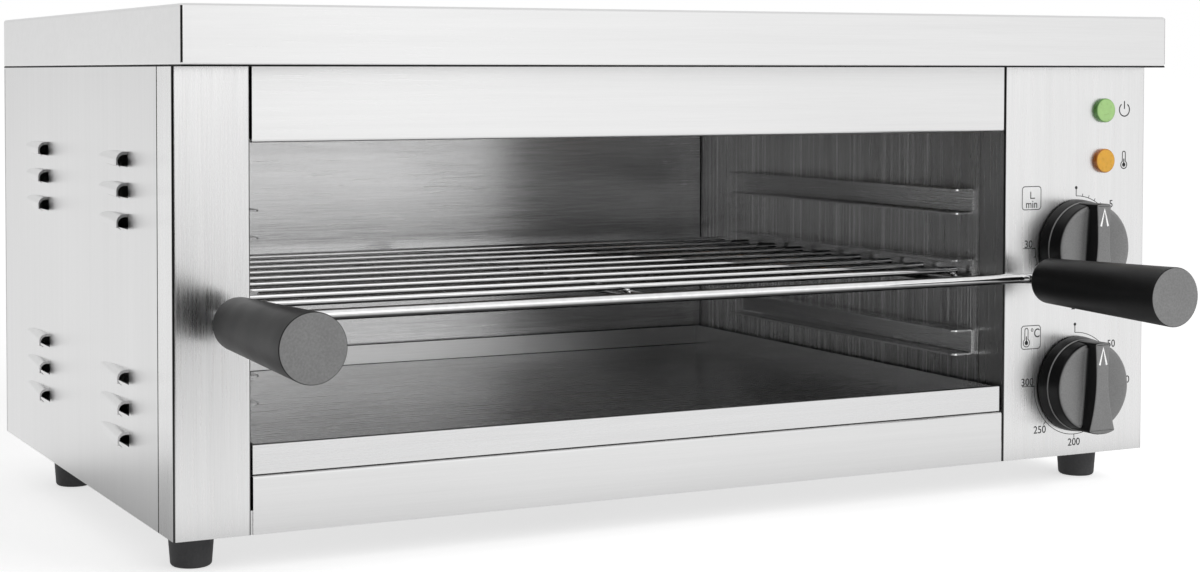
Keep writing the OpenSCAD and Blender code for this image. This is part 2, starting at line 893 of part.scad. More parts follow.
// Lamp holder through the panel with a collar and two tabs
module lamp_body(i) {
    hole_r = lamp_r - 1.6;
    color([0.85, 0.85, 0.82]) seat() translate([lamp_x, 0, lamp_z[i]]) {
        bar_y(0, 24, hole_r - 0.1);
        bar_y(sheet, 3, hole_r + 1.8);
        for (x = [-3, 3]) translate([x - 0.4, 24 - eps, -2.4]) cube([0.8, 8, 4.8]);
    }
}

module green_lamp_body() {
    lamp_body(0);
}

module orange_lamp_body() {
    lamp_body(1);
}

// ---------- electrical parts ----------

// Three-pole terminal block on the bottom plate
module terminal_block() {
    color(ceramic) seat() translate([block_pos.x, block_pos.y, wall_bottom]) difference() {
        cube([3 * block_pole, 22, 18]);
        for (i = [0 : 2]) translate([(i + 0.5) * block_pole, 0, 0]) {
            for (y = [6, 16]) translate([0, y, 10]) cylinder(h = 10, r = 2.6);
            translate([0, 0, 7]) bar_y(-1, 24, wire_r + 0.05);
        }
        for (i = [1, 2]) translate([i * block_pole, 11, -1]) cylinder(h = 30, r = 1.7);
    }
}

// Wires inside the compartment, each a separate conductor
module internal_wiring() {
    bend = 6;
    in_block = block_pos.y + 4;
    behind = sheet + switch_d + 8;
    timer_tab = timer_z - 23 + 5.4;
    thermostat_tab = thermostat_z - 20 + 5.4;
    pin_x = cavity_right + 26;
    block_z = wall_bottom + 7;
    block_x = [for (i = [0 : 2]) block_pos.x + (i + 0.5) * block_pole];
    element_pin = [for (y = element_y) for (side = [-1, 1]) y + side * element_gap / 2];
    color([0.45, 0.20, 0.12]) seat() {
        // supply to the timer
        bent_rod([[block_x[2], in_block, block_z], [block_x[2], 262, block_z],
            [block_x[2], 262, timer_tab], [block_x[2], behind, timer_tab]], wire_r, bend);
        // timer to the thermostat
        bent_rod([[dial_x + 4, behind, timer_tab], [dial_x + 4, behind + 14, timer_tab],
            [dial_x + 4, behind + 14, thermostat_tab], [dial_x + 4, behind, thermostat_tab]], wire_r, bend);
        // thermostat to the front element
        bent_rod([[dial_x - 4, behind, thermostat_tab], [dial_x - 4, element_pin[0], thermostat_tab],
            [dial_x - 4, element_pin[0], element_z], [pin_x, element_pin[0], element_z]], wire_r, bend);
        // link between the elements
        bent_rod([[pin_x, element_pin[1], element_z], [pin_x + 12, element_pin[1], element_z],
            [pin_x + 12, element_pin[2], element_z], [pin_x, element_pin[2], element_z]], wire_r, bend);
        // return from the rear element to the block
        bent_rod([[pin_x, element_pin[3], element_z], [block_x[0], element_pin[3], element_z],
            [block_x[0], element_pin[3], block_z], [block_x[0], in_block, block_z]], wire_r, bend);
    }
}

// Gland for the supply lead: hexagon outside, thread and bore through the back panel
module cable_gland() {
    hex_r = 12.7;
    color(black_plastic) seat() translate([gland_pos.x, 0, gland_pos.y]) difference() {
        union() {
            translate([0, body_d, 0]) rotate([-90, 0, 0]) cylinder(h = 5, r = hex_r, $fn = 6);
            bar_y(body_d + 5 - eps, 3 + 2 * eps, 10);
            translate([0, body_d + 8, 0]) rotate([-90, 0, 0]) cylinder(h = 5, r = hex_r - 0.6, $fn = 6);
            translate([0, body_d + 13, 0]) rotate([-90, 0, 0]) cylinder(h = gland_reach - 13, r1 = 10, r2 = 6.5);
            bar_y(body_d - 12, 12 + eps, gland_thread_r);
        }
        bar_y(body_d - 13, gland_reach + 14, gland_bore_r);
    }
}

module gland_locknut() {
    color(black_plastic) seat() translate([gland_pos.x, back_y - 5, gland_pos.y]) rotate([-90, 0, 0])
        difference() {
            cylinder(h = 5, r = 12, $fn = 6);
            translate([0, 0, -1]) cylinder(h = 7, r = gland_thread_r + 0.05);
        }
}

// ---------- feet ----------

// Tapered rubber foot with a recess for its screw
module foot(x, y) {
    bottom_r = 10.6;
    soft = 2;
    head_recess = 5;
    color(rubber) seat() translate([x, y, 0]) difference() {
        rotate_extrude($fn = 64) polygon(concat(
            [[0, 0]],
            [for (a = [-90 : 18 : 0]) [bottom_r - soft + soft * cos(a), soft + soft * sin(a)]],
            [[foot_r, foot_h], [0, foot_h]]
        ));
        translate([0, 0, -1]) cylinder(h = head_recess + 6, r = 4.8);
        translate([0, 0, -1]) cylinder(h = foot_h + 2, r = screw_r + 0.1);
    }
}

module foot_front_left() {
    foot(-foot_x, foot_y[0]);
}

module foot_front_right() {
    foot(foot_x, foot_y[0]);
}

module foot_back_left() {
    foot(-foot_x, foot_y[1]);
}

module foot_back_right() {
    foot(foot_x, foot_y[1]);
}

module at_feet() {
    for (x = [-foot_x, foot_x]) for (y = foot_y) translate([x, y, 0]) children();
}

module foot_screws() {
    seat_z = 10;
    color(zinc) seat() at_feet() {
        translate([0, 0, seat_z]) mirror([0, 0, 1]) pan_head(4.2, 3);
        translate([0, 0, seat_z - eps]) cylinder(h = body_bottom + 8 - seat_z, r = screw_r);
    }
}

module foot_nuts() {
    color(zinc) seat() at_feet() translate([0, 0, wall_bottom]) difference() {
        cylinder(h = 4, r = 4.6, $fn = 6);
        translate([0, 0, -1]) cylinder(h = 6, r = screw_r + 0.05);
    }
}

// ---------- nodes ----------

top_cap();
left_side_panel();
right_side_panel();
back_panel();
bottom_plate();
left_stile();
control_panel();
upper_fascia();
lower_fascia();
cavity_left_wall();
cavity_right_wall();
cavity_back_wall();
reflector();
left_tray_rail();
right_tray_rail();
left_runner(0);  // left_runner_low
left_runner(1);  // left_runner_middle
left_runner(2);  // left_runner_high
right_runner(0);  // right_runner_low
right_runner(1);  // right_runner_middle
right_runner(2);  // right_runner_high
crumb_tray();
rack_front_rod();
rack_rod(cavity_mid - side_rod_x);  // rack_left_rod
rack_rod(cavity_mid);  // rack_middle_rod
rack_rod(cavity_mid + side_rod_x);  // rack_right_rod
rack_cross_wires();
left_grip();
right_grip();
element(element_y[0]);  // front_element
element(element_y[1]);  // rear_element
element_flanges();
element_beads();
element_hangers();
sensing_bulb();
bulb_clips();
timer_knob();
timer_shaft();
timer_body();
thermostat_knob();
thermostat_shaft();
thermostat_body();
control_screws();
green_lens();
orange_lens();
green_lamp_body();
orange_lamp_body();
terminal_block();
internal_wiring();
cable_gland();
gland_locknut();
back_screws();
foot_front_left();
foot_front_right();
foot_back_left();
foot_back_right();
foot_screws();
foot_nuts();
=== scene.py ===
"""Dresses a countertop cheese melter: brushed stainless housing, chromed rack, grips, dials and lamps.

Metres. X runs to the right, Y to the back, Z up; the grill stands on Z = 0. The frame supplies the
solids, which keep their shape and get their finishes here. The rack's rods, grips, knobs, lenses,
printing and the dark lines of painted shade in the seams are worked out below as surfaces of their own.
"""

import math

import bpy
import numpy as np
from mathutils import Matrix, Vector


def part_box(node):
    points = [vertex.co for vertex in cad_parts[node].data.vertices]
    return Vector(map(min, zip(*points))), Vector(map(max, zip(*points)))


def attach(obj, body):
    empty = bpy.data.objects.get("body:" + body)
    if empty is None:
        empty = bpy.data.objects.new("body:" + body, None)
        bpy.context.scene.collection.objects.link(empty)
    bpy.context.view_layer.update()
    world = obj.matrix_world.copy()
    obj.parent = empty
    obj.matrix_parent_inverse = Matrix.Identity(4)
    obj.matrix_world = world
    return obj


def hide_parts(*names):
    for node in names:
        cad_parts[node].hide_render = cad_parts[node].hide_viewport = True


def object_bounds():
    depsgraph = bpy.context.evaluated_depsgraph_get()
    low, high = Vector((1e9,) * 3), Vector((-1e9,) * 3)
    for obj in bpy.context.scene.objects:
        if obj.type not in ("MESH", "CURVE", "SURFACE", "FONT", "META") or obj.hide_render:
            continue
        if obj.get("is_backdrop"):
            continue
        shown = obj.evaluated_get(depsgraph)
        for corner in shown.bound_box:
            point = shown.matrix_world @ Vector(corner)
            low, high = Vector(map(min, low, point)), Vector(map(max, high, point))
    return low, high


bl_info = {
    "name": "Cheese Melter",
    "version": (1, 0, 0),
    "blender": (4, 5, 0),
    "location": "View3D > Sidebar > Melter",
    "description": "Finishes, rack, controls and studio of a countertop cheese melter",
    "category": "Add Mesh",
}

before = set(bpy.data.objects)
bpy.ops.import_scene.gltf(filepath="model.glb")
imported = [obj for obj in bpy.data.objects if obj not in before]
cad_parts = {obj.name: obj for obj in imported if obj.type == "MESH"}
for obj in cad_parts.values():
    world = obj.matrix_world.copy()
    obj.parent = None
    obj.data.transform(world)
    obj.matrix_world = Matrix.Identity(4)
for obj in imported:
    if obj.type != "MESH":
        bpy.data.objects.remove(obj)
CAD_LOW, CAD_HIGH = (tuple(corner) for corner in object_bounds())
MM = 0.001
OVER = 0.03 * MM  # thickness of the print, and how far a painted shade line lies over its sheet
SIDES, RODS = ("left", "right"), ("left", "middle", "right")


def node_box(name):
    """Lowest corner, highest corner and middle of a solid as three arrays."""
    low, high = (np.array(corner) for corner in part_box(name))
    return low, high, (low + high) / 2


PANEL_LOW, PANEL_HIGH, _ = node_box("control_panel")
FRONT_Y = float(PANEL_LOW[1])
BODY_TOP = float(PANEL_HIGH[2])

# printing on the control panel, in mm from the middle of the grill and from the body's top
POWER_SIGN, POWER_R = (289.0, -25.4), 3.9
HEAT_SIGN = (288.9, -60.8)
TIMER_FRAME, CLOCK_HANDS, MIN_SIGN = ((212.1, -83.7), (226.0, -70.1)), (218.4, -77.0), (219.1, -80.4)
THERMOSTAT_FRAME, THERMOSTAT_SIGN = ((212.3, -165.9), (226.5, -152.2)), (216.1, -164.6)
CELSIUS_SIGN = (222.6, -156.6)

# a dial's numbers, 45 degrees apart: how far right of the axis some start, and how far some are lifted, in mm
LABEL_STARTS, LABEL_LIFTS = {1: 25.5, 2: 34.6, 3: 21.5}, {3: 0.6, 4: 1.6, 6: 2.9}

# a knob, in mm: heights above its back, and radii of the troughed face and of the rim
SKIRT_TOP, RIM_TOP, BAR_TOP = 6.9, 15.8, 23.1
FACE_R, RIM_R = 23.9, 27.1

# the camera as fitted to the photograph: pixels, focal length and centre in pixels, place and turn
PIXELS, FOCAL, CENTRE = (1200, 572), 2112.3, (469.6, 142.0)
CAMERA_AT, YAW, PITCH = (-0.6085, -1.1054, 0.2482), 0.4402, 0.0331
SENSOR = 36.0
FLOOR_SPAN = 60.0  # from the middle to an edge
KEY_AT, KEY_SIZE, KEY_AIM = (1.1, -1.7, 1.3), (1.6, 1.2), (0.0, 0.0, 0.12)
FLAG, FLAG_TONE = (-0.743, -0.669, 0.0), 0.06  # way to the studio's dark flag, and what light it leaves


# ---------------------------------------------------------------- sizes and colours


def color_setting(name, description, default):
    """A colour in the add-on's settings."""
    return bpy.props.FloatVectorProperty(
        name=name, description=description, subtype="COLOR", size=3, min=0.0, max=1.0, default=default)


def length_setting(name, description, default, least, most):
    """A length in the add-on's settings."""
    return bpy.props.FloatProperty(
        name=name, description=description, subtype="DISTANCE", unit="LENGTH", min=least, max=most,
        default=default)


class MelterSteel(bpy.types.PropertyGroup):
    """Brushed stainless sheet."""

    outer_color: color_setting("Outer Steel", "Colour of the housing's sheets", (0.87, 0.87, 0.87))
    inner_color: color_setting("Inner Steel", "Colour of the cavity's sheets", (0.80, 0.80, 0.803))
    roughness: bpy.props.FloatProperty(
        name="Roughness", description="Blur of the reflections in the outer sheets",
        min=0.05, max=1.0, default=0.32)


class MelterPlastic(bpy.types.PropertyGroup):
    """Grips and knobs."""

    grip_color: color_setting("Grip", "Colour of a grip's sides", (0.013, 0.013, 0.0135))
    # painted light: the front faces of grips and knobs are paler, as if lit from the front
    lit_face_color: color_setting("Front Faces", "Colour of the sanded faces of grips and knobs", (0.29,) * 3)
    knob_color: color_setting("Knob", "Colour of a knob's skirt and bar", (0.007, 0.007, 0.0075))


class MelterPrint(bpy.types.PropertyGroup):
    """Dark printing on the control panel."""

    ink_color: color_setting("Ink", "Colour of the dials' printing", (0.022, 0.022, 0.024))
    digit_height: length_setting("Digit Height", "Height of the dials' numbers", 0.0044, 0.002, 0.008)
    arc_radius: length_setting("Scale Radius", "Radius of a dial's scale line", 0.0304, 0.0296, 0.033)
    label_radius: length_setting("Label Radius", "Radius of a dial's ring of numbers", 0.0366, 0.033, 0.040)


class MelterRack(bpy.types.PropertyGroup):
    """Rack of chromed rods."""

    weld_size: length_setting("Weld Size", "Half length of the weld on a rod", 0.0020, 0.0005, 0.003)
    rod_sides: bpy.props.IntProperty(
        name="Rod Sides", description="Number of faces round a rod", min=12, max=64, default=32)


class MelterStage(bpy.types.PropertyGroup):
    """Floor, light and camera."""

    key_power: bpy.props.FloatProperty(
        name="Key Light", description="Power of the large lamp at the front right",
        subtype="POWER", min=0.0, max=200.0, default=22.0)
    sky_diffuse: bpy.props.FloatProperty(
        name="Soft Light", description="Strength of the light from all round", min=0.0, max=2.0, default=0.38)


# ---------------------------------------------------------------- surfaces


def place(name, data):
    """Puts an object with its data into the scene."""
    thing = bpy.data.objects.new(name, data)
    bpy.context.scene.collection.objects.link(thing)
    return thing


def add_piece(name, shape, body, slot_name, finish=None, smooth=True):
    """Puts a shape's vertices and faces into a mesh object at the origin that rides on a body. Where no
    finish is named, it has the slot's name."""
    verts, faces = shape
    mesh = bpy.data.meshes.new(name)
    mesh.from_pydata([tuple(v) for v in np.asarray(verts).tolist()], [], [tuple(f) for f in faces])
    mesh.validate()
    mesh.polygons.foreach_set("use_smooth", np.full(len(mesh.polygons), smooth))
    mesh.materials.append(finish_of(finish or slot_name))
    mesh.update()
    piece = place(name, mesh)
    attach(piece, body)
    return piece


def grid_faces(rows, cols, loop=False):
    """Quads between rows of ring points; loop joins the last ring to the first as well."""
    i, j = np.meshgrid(np.arange(rows if loop else rows - 1), np.arange(cols), indexing="ij")
    here, there, k = i * cols, (i + 1) % rows * cols, (j + 1) % cols
    return np.stack([here + j, here + k, there + k, there + j], -1).reshape(-1, 4).tolist()


def prism_faces(rows, cols):
    """Quads between rings, with one face across the first ring and one across the last."""
    last = (rows - 1) * cols
    return grid_faces(rows, cols) + [list(range(cols))[::-1], list(range(last, last + cols))]


def merge(parts):
    """Joins (vertices, faces) pairs into one pair."""
    verts, faces, start = [], [], 0
    for v, f in parts:
        verts.append(np.asarray(v, float))
        faces += [[k + start for k in face] for face in f]
        start += len(v)
    return np.concatenate(verts), faces


def ring_faces(rows, sides):
    """Quads between rings, and triangles to the poles below the first ring and above the last."""
    faces = grid_faces(rows, sides)
    base, pole = (rows - 1) * sides, rows * sides
    for j in range(sides):
        k = (j + 1) % sides
        faces += [[pole, k, j], [pole + 1, base + j, base + k]]
    return faces


def tube(path, radii, sides):
    """A circle carried along a path that starts out level: each ring stands square to the path, its first
    spoke carried over from the ring before; a pole closes each end. The faces point outwards."""
    path = np.asarray(path, float)
    radii = np.broadcast_to(np.asarray(radii, float), len(path))
    ahead = np.gradient(path, axis=0)
    ahead /= np.linalg.norm(ahead, axis=1, keepdims=True)
    spoke = np.cross(ahead[0], (0, 0, 1))
    spokes = np.empty_like(path)
    for i, a in enumerate(ahead):
        spoke = spoke - a * np.dot(a, spoke)
        spoke /= np.linalg.norm(spoke)
        spokes[i] = spoke
    turn = np.linspace(0, 2 * np.pi, sides, endpoint=False)[None, :, None]
    across = np.cross(ahead, spokes)
    rings = path[:, None] + radii[:, None, None] * (
        np.cos(turn) * spokes[:, None] + np.sin(turn) * across[:, None])
    return np.concatenate([rings.reshape(-1, 3), path[[0, -1]]]), ring_faces(len(path), sides)


def rod_between(start, end, radius, sides, dome=0.6):
    """A straight rod whose ends are rounded: near an end the radius follows a quarter circle."""
    start, end = np.asarray(start, float), np.asarray(end, float)
    length = np.linalg.norm(end - start)
    edge = radius * dome
    swing = np.linspace(0, np.pi / 2, 6)
    near = edge * (1 - np.cos(swing))
    shrink = radius - edge + edge * np.sin(swing)
    along = np.concatenate([near, length - near[::-1]]) / length
    return tube(start + along[:, None] * (end - start), np.concatenate([shrink, shrink[::-1]]), sides)


def revolve(profile, sides=96):
    """A profile of (radius, height) points turned about the Z axis; its first and last point, which lie
    on the axis, become poles."""
    profile = np.asarray(profile, float)
    turn = np.linspace(0, 2 * np.pi, sides, endpoint=False)
    inner = profile[1:-1]
    rings = np.stack([
        inner[:, :1] * np.cos(turn), inner[:, :1] * np.sin(turn),
        np.repeat(inner[:, 1:], sides, 1)], -1).reshape(-1, 3)
    poles = [[0, 0, profile[0, 1]], [0, 0, profile[-1, 1]]]
    return np.concatenate([rings, poles]), ring_faces(len(inner), sides)


def upright(plan, start, stop):
    """A closed plan of (x, y) points carried straight up. The sign of its area tells which way round the
    points run, and so which winding faces outwards."""
    plan = np.asarray(plan, float)
    count, ahead = len(plan), np.roll(plan, -1, 0)
    verts = np.concatenate([np.column_stack([plan, np.full(count, z)]) for z in (start, stop)])
    area = (plan[:, 0] * ahead[:, 1] - plan[:, 1] * ahead[:, 0]).sum()
    return verts, prism_faces(2, count) if area > 0 else flip(prism_faces(2, count))


def slab(low, high):
    """A closed box between its lowest and its highest corner."""
    plan = [(low[0], low[1]), (high[0], low[1]), (high[0], high[1]), (low[0], high[1])]
    return upright(plan, low[2], high[2])


def corner_seam(x, y, start, stop, side, wide):
    """Painted shade up a corner that looks to the front, where the seam's gap would lie dark: a thin dark
    angle, carried straight up, that lies over both faces; side is 1 where its other face looks to the left."""
    inner, deep = 0.2 * MM, 1.4 * MM
    plan = [(wide, inner), (wide, -OVER), (-OVER, -OVER), (-OVER, deep), (inner, deep), (inner, inner)]
    return upright(np.array(plan) * (side, 1) + (x, y), start, stop)


def hem_shadow(low, high, tall):
    """A painted shadow under a folded skirt: a thin dark level band round a box's lowest edge, its outer
    face a hair in front of the sheet and its inner face within it."""
    foot, top, inner = low[2] - 0.1 * MM, low[2] + tall, -0.2 * MM
    box = np.array([(low[0], low[1]), (high[0], low[1]), (high[0], high[1]), (low[0], high[1])])
    away = np.array([(-1, -1), (1, -1), (1, 1), (-1, 1)])
    rings = [(OVER, foot), (OVER, top), (inner, top), (inner, foot)]
    verts = np.concatenate([np.column_stack([box + away * out, np.full(4, z)]) for out, z in rings])
    return verts, grid_faces(4, 4, loop=True)


def to_front(verts, x, y, z):
    """Turns a shape whose axis is Z so that the axis points out of the front, with its foot at (x, y, z)."""
    verts = np.asarray(verts, float)
    return np.stack([x + verts[:, 0], y - verts[:, 2], z + verts[:, 1]], -1)


def flip(faces):
    """The same faces wound the other way round."""
    return [face[::-1] for face in faces]


def rounded_profile(points, radius_of, steps=6):
    """A profile whose inner corners are rounded: each corner is replaced by a quadratic curve from the
    point its radius before it, through it as a handle, to the point its radius after it."""
    points = np.asarray(points, float)
    out = [points[0]]
    for i in range(1, len(points) - 1):
        r = radius_of[i - 1]
        if r <= 0:
            out.append(points[i])
            continue
        back, on = points[i - 1] - points[i], points[i + 1] - points[i]
        a = points[i] + back / np.linalg.norm(back) * r
        b = points[i] + on / np.linalg.norm(on) * r
        t = np.linspace(0, 1, steps)[:, None]
        out += list((1 - t) ** 2 * a + 2 * t * (1 - t) * points[i] + t ** 2 * b)
    out.append(points[-1])
    return np.array(out)


def ink_strip(points, width, closed=False, thickness=OVER, y=FRONT_Y - 0.01 * MM):
    """A printed line: a ribbon of the given width along points in X and Z, mitred at its corners, with a
    front and a back face a hair apart just in front of the panel."""
    points = np.asarray(points, float)
    nxt, prv = np.roll(points, -1, 0), np.roll(points, 1, 0)
    if not closed:
        nxt[-1], prv[0] = 2 * points[-1] - points[-2], 2 * points[0] - points[1]
    on, back = nxt - points, points - prv
    on /= np.linalg.norm(on, axis=1, keepdims=True)
    back /= np.linalg.norm(back, axis=1, keepdims=True)
    side = np.stack([-on[:, 1], on[:, 0]], 1)
    mitre = side + np.stack([-back[:, 1], back[:, 0]], 1)
    mitre *= width / 2 / np.maximum((mitre * side).sum(1, keepdims=True), 0.4)
    front, count = y - thickness, len(points)
    edges = ((1, front), (-1, front), (-1, y), (1, y))
    rings = np.stack([np.insert(points + sign * mitre, 1, depth, 1) for sign, depth in edges], 1)
    return rings.reshape(-1, 3), grid_faces(count, 4, loop=True) if closed else prism_faces(count, 4)


def ink_disc(x, z, radius, sides=32):
    """A printed dot: a short closed disc just in front of the panel."""
    near, far = 0.01 * MM, 0.01 * MM + OVER
    verts, faces = revolve([(0, near), (radius, near), (radius, far), (0, far)], sides)
    return to_front(verts, x, FRONT_Y, z), faces


def ink_words(words, x, z, height, squeeze=1.0):
    """Printed figures: the font's outlines made a thin solid, scaled to the height of a figure and
    centred on (x, z)."""
    half, tall = 0.004, 0.70  # half thickness, and height of a figure in a font of size 1
    curve = bpy.data.curves.new("figures", "FONT")
    curve.body, curve.size, curve.extrude, curve.offset = words, 1.0, half, 0.006
    curve.resolution_u = 4
    holder = place("figures", curve)
    graph = bpy.context.evaluated_depsgraph_get()
    shape = holder.evaluated_get(graph).to_mesh()
    verts = np.empty(len(shape.vertices) * 3)
    shape.vertices.foreach_get("co", verts)
    # the font's faces and walls come apart, so points that lie in one place become one
    verts, same = np.unique(verts.reshape(-1, 3).round(5), axis=0, return_inverse=True)
    faces = [same.ravel()[list(p.vertices)].tolist() for p in shape.polygons]
    holder.evaluated_get(graph).to_mesh_clear()
    bpy.data.objects.remove(holder)
    bpy.data.curves.remove(curve)
    size = height / tall
    middle = (verts[:, 0].min() + verts[:, 0].max()) / 2
    out = np.stack([
        x + (verts[:, 0] - middle) * size * squeeze,
        FRONT_Y - OVER - verts[:, 2] / half * OVER / 2,
        z + verts[:, 1] * size - height / 2], 1)
    return out, faces


# ---------------------------------------------------------------- finishes


class Nodes:
    """Short hand for the node tree of a material or a world."""

    def __init__(self, owner, output="ShaderNodeOutputMaterial", coords="Object"):
        owner.use_nodes = True
        self.owner, self.tree = owner, owner.node_tree
        self.tree.nodes.clear()
        self.output = self.add(output)
        self.coords = self.add("ShaderNodeTexCoord").outputs[coords]

    def add(self, kind, inputs=None, **settings):
        """A node with its settings; an input takes a value or a link from another node's socket."""
        node = self.tree.nodes.new(kind)
        for key, value in settings.items():
            setattr(node, key, value)
        for key, value in (inputs or {}).items():
            if isinstance(value, bpy.types.NodeSocket):
                self.tree.links.new(value, node.inputs[key])
            else:
                node.inputs[key].default_value = value
        return node

    def noise(self, scale, detail=3.0, roughness=0.6, at=(0, 0, 0)):
        """Noise stretched by a scale for each axis, in features to the metre."""
        scale = scale if isinstance(scale, tuple) else (scale,) * 3
        mapping = self.add("ShaderNodeMapping", {"Vector": self.coords, "Location": at, "Scale": scale})
        return self.add("ShaderNodeTexNoise", {
            "Vector": mapping.outputs["Vector"], "Scale": 1.0, "Detail": detail, "Roughness": roughness,
        }).outputs["Fac"]

    def spread(self, value, low, high, start=0.3, end=0.7, smooth=False):
        """Maps the values from start to end, by default those of noise, onto a range: in a straight
        line or, where smooth, in a soft step."""
        return self.add("ShaderNodeMapRange", {
            "Value": value, "From Min": start, "From Max": end, "To Min": low, "To Max": high,
        }, interpolation_type="SMOOTHSTEP" if smooth else "LINEAR").outputs["Result"]

    def maths(self, operation, a, b=0.0):
        return self.add("ShaderNodeMath", {0: a, 1: b}, operation=operation).outputs["Value"]

    def times(self, a, b):
        return self.maths("MULTIPLY", a, b)

    def vector(self, operation, a, b=(0, 0, 0), result="Vector"):
        return self.add("ShaderNodeVectorMath", {0: a, 1: b}, operation=operation).outputs[result]

    def mix(self, factor, a, b, data_type="FLOAT"):
        inputs = {"Factor": factor, "A": a, "B": b}
        return self.add("ShaderNodeMix", inputs, data_type=data_type).outputs["Result"]

    def tint(self, color, value):
        """A colour times a value."""
        grey = self.add("ShaderNodeCombineXYZ", {"X": value, "Y": value, "Z": value}).outputs["Vector"]
        return self.vector("MULTIPLY", tuple(color), grey)

    def bump(self, height, strength, distance):
        return self.add("ShaderNodeBump", {
            "Height": height, "Strength": strength, "Distance": distance}).outputs["Normal"]

    def normal(self):
        """The surface's own normal."""
        return self.add("ShaderNodeNewGeometry").outputs["Normal"]

    def parts(self, vector):
        return self.add("ShaderNodeSeparateXYZ", {"Vector": vector}).outputs

    def flagged(self, way):
        """What light the dark flag at the front left leaves in a direction."""
        return self.spread(self.vector("DOT_PRODUCT", way, FLAG, "Value"), 1.0, FLAG_TONE, 0.60, 0.80, True)

    def rays(self):
        """1 for rays that see the surface straight, and 1 for rays that see it in a mirror."""
        path = self.add("ShaderNodeLightPath").outputs
        seen = self.maths("MAXIMUM", path["Is Camera Ray"], path["Is Transmission Ray"])
        return seen, path["Is Glossy Ray"]

    def show(self, shader):
        """Links a shader to the output."""
        self.tree.links.new(shader.outputs[0], self.output.inputs["Surface"])
        return self.owner

    def finish(self, inputs):
        return self.show(self.add("ShaderNodeBsdfPrincipled", inputs))


def new_material(name):
    """The nodes of a material of its own."""
    return Nodes(bpy.data.materials.new(name))


def brushed_steel(name, color, grain, roughness, streak, relief=0.10, anisotropy=0.55, coarse=1.0,
                  fold=0.0, ripple=0.0, facing=(), scores=0.0):
    """Brushed sheet. Two stretched noises make fine scratches and broader bands along the grain; they
    shade the colour, the roughness and a shallow relief. The reflections are drawn out across the grain.
    A fold may get a painted dark line along its bend, which is painted shade, by the products of the
    normal's parts two by two. Each entry of facing is an axis, a sign and a factor: the faces that look
    along that axis get painted light or painted shade, their colour scaled by the factor. Scores are
    sparse light lines along the grain."""
    n = new_material(name)
    axis = "xyz".index(grain)

    def along(run, over):
        """A scale of run features to the metre along the grain and over across it."""
        return tuple(run if i == axis else over for i in range(3))

    fine = n.noise(along(26, 1500 / coarse), 4.0, 0.65)
    band = n.noise(along(5, 260 / coarse), 3.0, 0.55, (3, 1, 2))
    wide = n.noise(along(1.5, 24), 2.0, 0.5, (7, 5, 1))
    cloud = n.noise(5, 3.0, 0.5, (1, 9, 4))
    shade = n.spread(fine, 1 - streak, 1 + streak * 0.8)
    shade = n.times(shade, n.spread(band, 1 - streak * 0.8, 1 + streak * 0.5))
    shade = n.times(shade, n.spread(wide, 1 - streak * 0.4, 1 + streak * 0.25))
    rough = n.maths("ADD", n.spread(fine, roughness - 0.05, roughness + 0.05), n.spread(cloud, -0.02, 0.03))
    normal = n.normal()
    across = n.vector("CROSS_PRODUCT", along(1.0, 0.04), normal)
    parts = n.parts(normal)
    # painted shade: a dark line along each fold, where the bend mirrors the studio's dark flag
    if fold:
        turn = n.times(parts["X"], parts["Y"])
        turn = n.maths("MAXIMUM", turn, n.times(turn, -0.78))
        down = n.maths("ABSOLUTE", n.times(parts["Y"], parts["Z"]))
        fold_shade = n.spread(n.maths("MAXIMUM", turn, down), 1.0, 1.0 - fold, 0.22, 0.45)
        shade = n.times(shade, fold_shade)
    if scores:
        lines = n.spread(n.noise(along(2.2, 460), 1.0, 0.5, (6, 6, 6)), 1.0 - scores, 1.0, 0.52, 0.68)
        shade = n.times(shade, lines)
    # painted light or painted shade on the faces that look along an axis
    for part, sign, factor in facing:
        shade = n.times(shade, n.spread(n.times(parts[part], sign), 1.0, factor, 0.8, 0.98))
    face = n.bump(fine, relief, 0.0002)
    if ripple:
        waves = n.noise(along(1.2, 190), 4.0, 0.8, (8, 2, 6))
        face = n.add("ShaderNodeBump", {
            "Height": waves, "Strength": 1.0, "Distance": ripple, "Normal": face}).outputs["Normal"]
    return n.finish({
        "Base Color": n.tint(color, shade), "Metallic": 1.0, "Roughness": rough, "Anisotropic": anisotropy,
        "Tangent": across, "Normal": face})


def chrome(name, color=(0.95, 0.95, 0.955), roughness=0.07, underside_shade=1.0):
    """Bright plated wire with small dull spots and a slight waviness; painted shade may darken its underside.
    """
    n = new_material(name)
    spots = n.noise(220)
    wave = n.noise(55, 2.0, 0.5, (2, 2, 2))
    # painted shade: the colour darkens on faces that look down
    up = n.parts(n.normal())["Z"]
    tone = n.times(n.spread(spots, 0.93, 1.03), n.spread(up, underside_shade, 1.0, -0.42, 0.10))
    return n.finish({
        "Base Color": n.tint(color, tone), "Metallic": 1.0,
        "Roughness": n.spread(spots, roughness + 0.05, roughness - 0.03),
        "Normal": n.bump(wave, 0.25, 0.0003)})


def moulded(name, color, roughness, grain, relief, face=None, specular=0.5, turn=(0.90, 0.975)):
    """Moulded plastic with a fine eroded texture. Where a face colour is given, surfaces that look
    straight to the front take it as painted light: they are paler, as if lit from the front."""
    n = new_material(name)
    pits = n.noise(grain)
    cloud = n.noise(38, 3.0, 0.55, (4, 4, 4))
    tone = n.times(n.spread(pits, 0.86, 1.10), n.spread(cloud, 0.92, 1.06))
    base = n.tint(color, tone)
    rough = n.spread(cloud, roughness - 0.04, roughness + 0.06)
    if face is not None:
        # painted light: faces that look to the front take the paler colour
        ahead = n.vector("DOT_PRODUCT", n.normal(), (0, -1, 0), "Value")
        lit_mask = n.spread(ahead, 0.0, 1.0, *turn, True)
        base = n.mix(lit_mask, base, n.tint(face, tone), "VECTOR")
        rough = n.maths("ADD", rough, n.times(lit_mask, 0.12))
    return n.finish({
        "Base Color": base, "Roughness": rough, "Specular IOR Level": specular,
        "Normal": n.bump(pits, relief, 0.00008)})


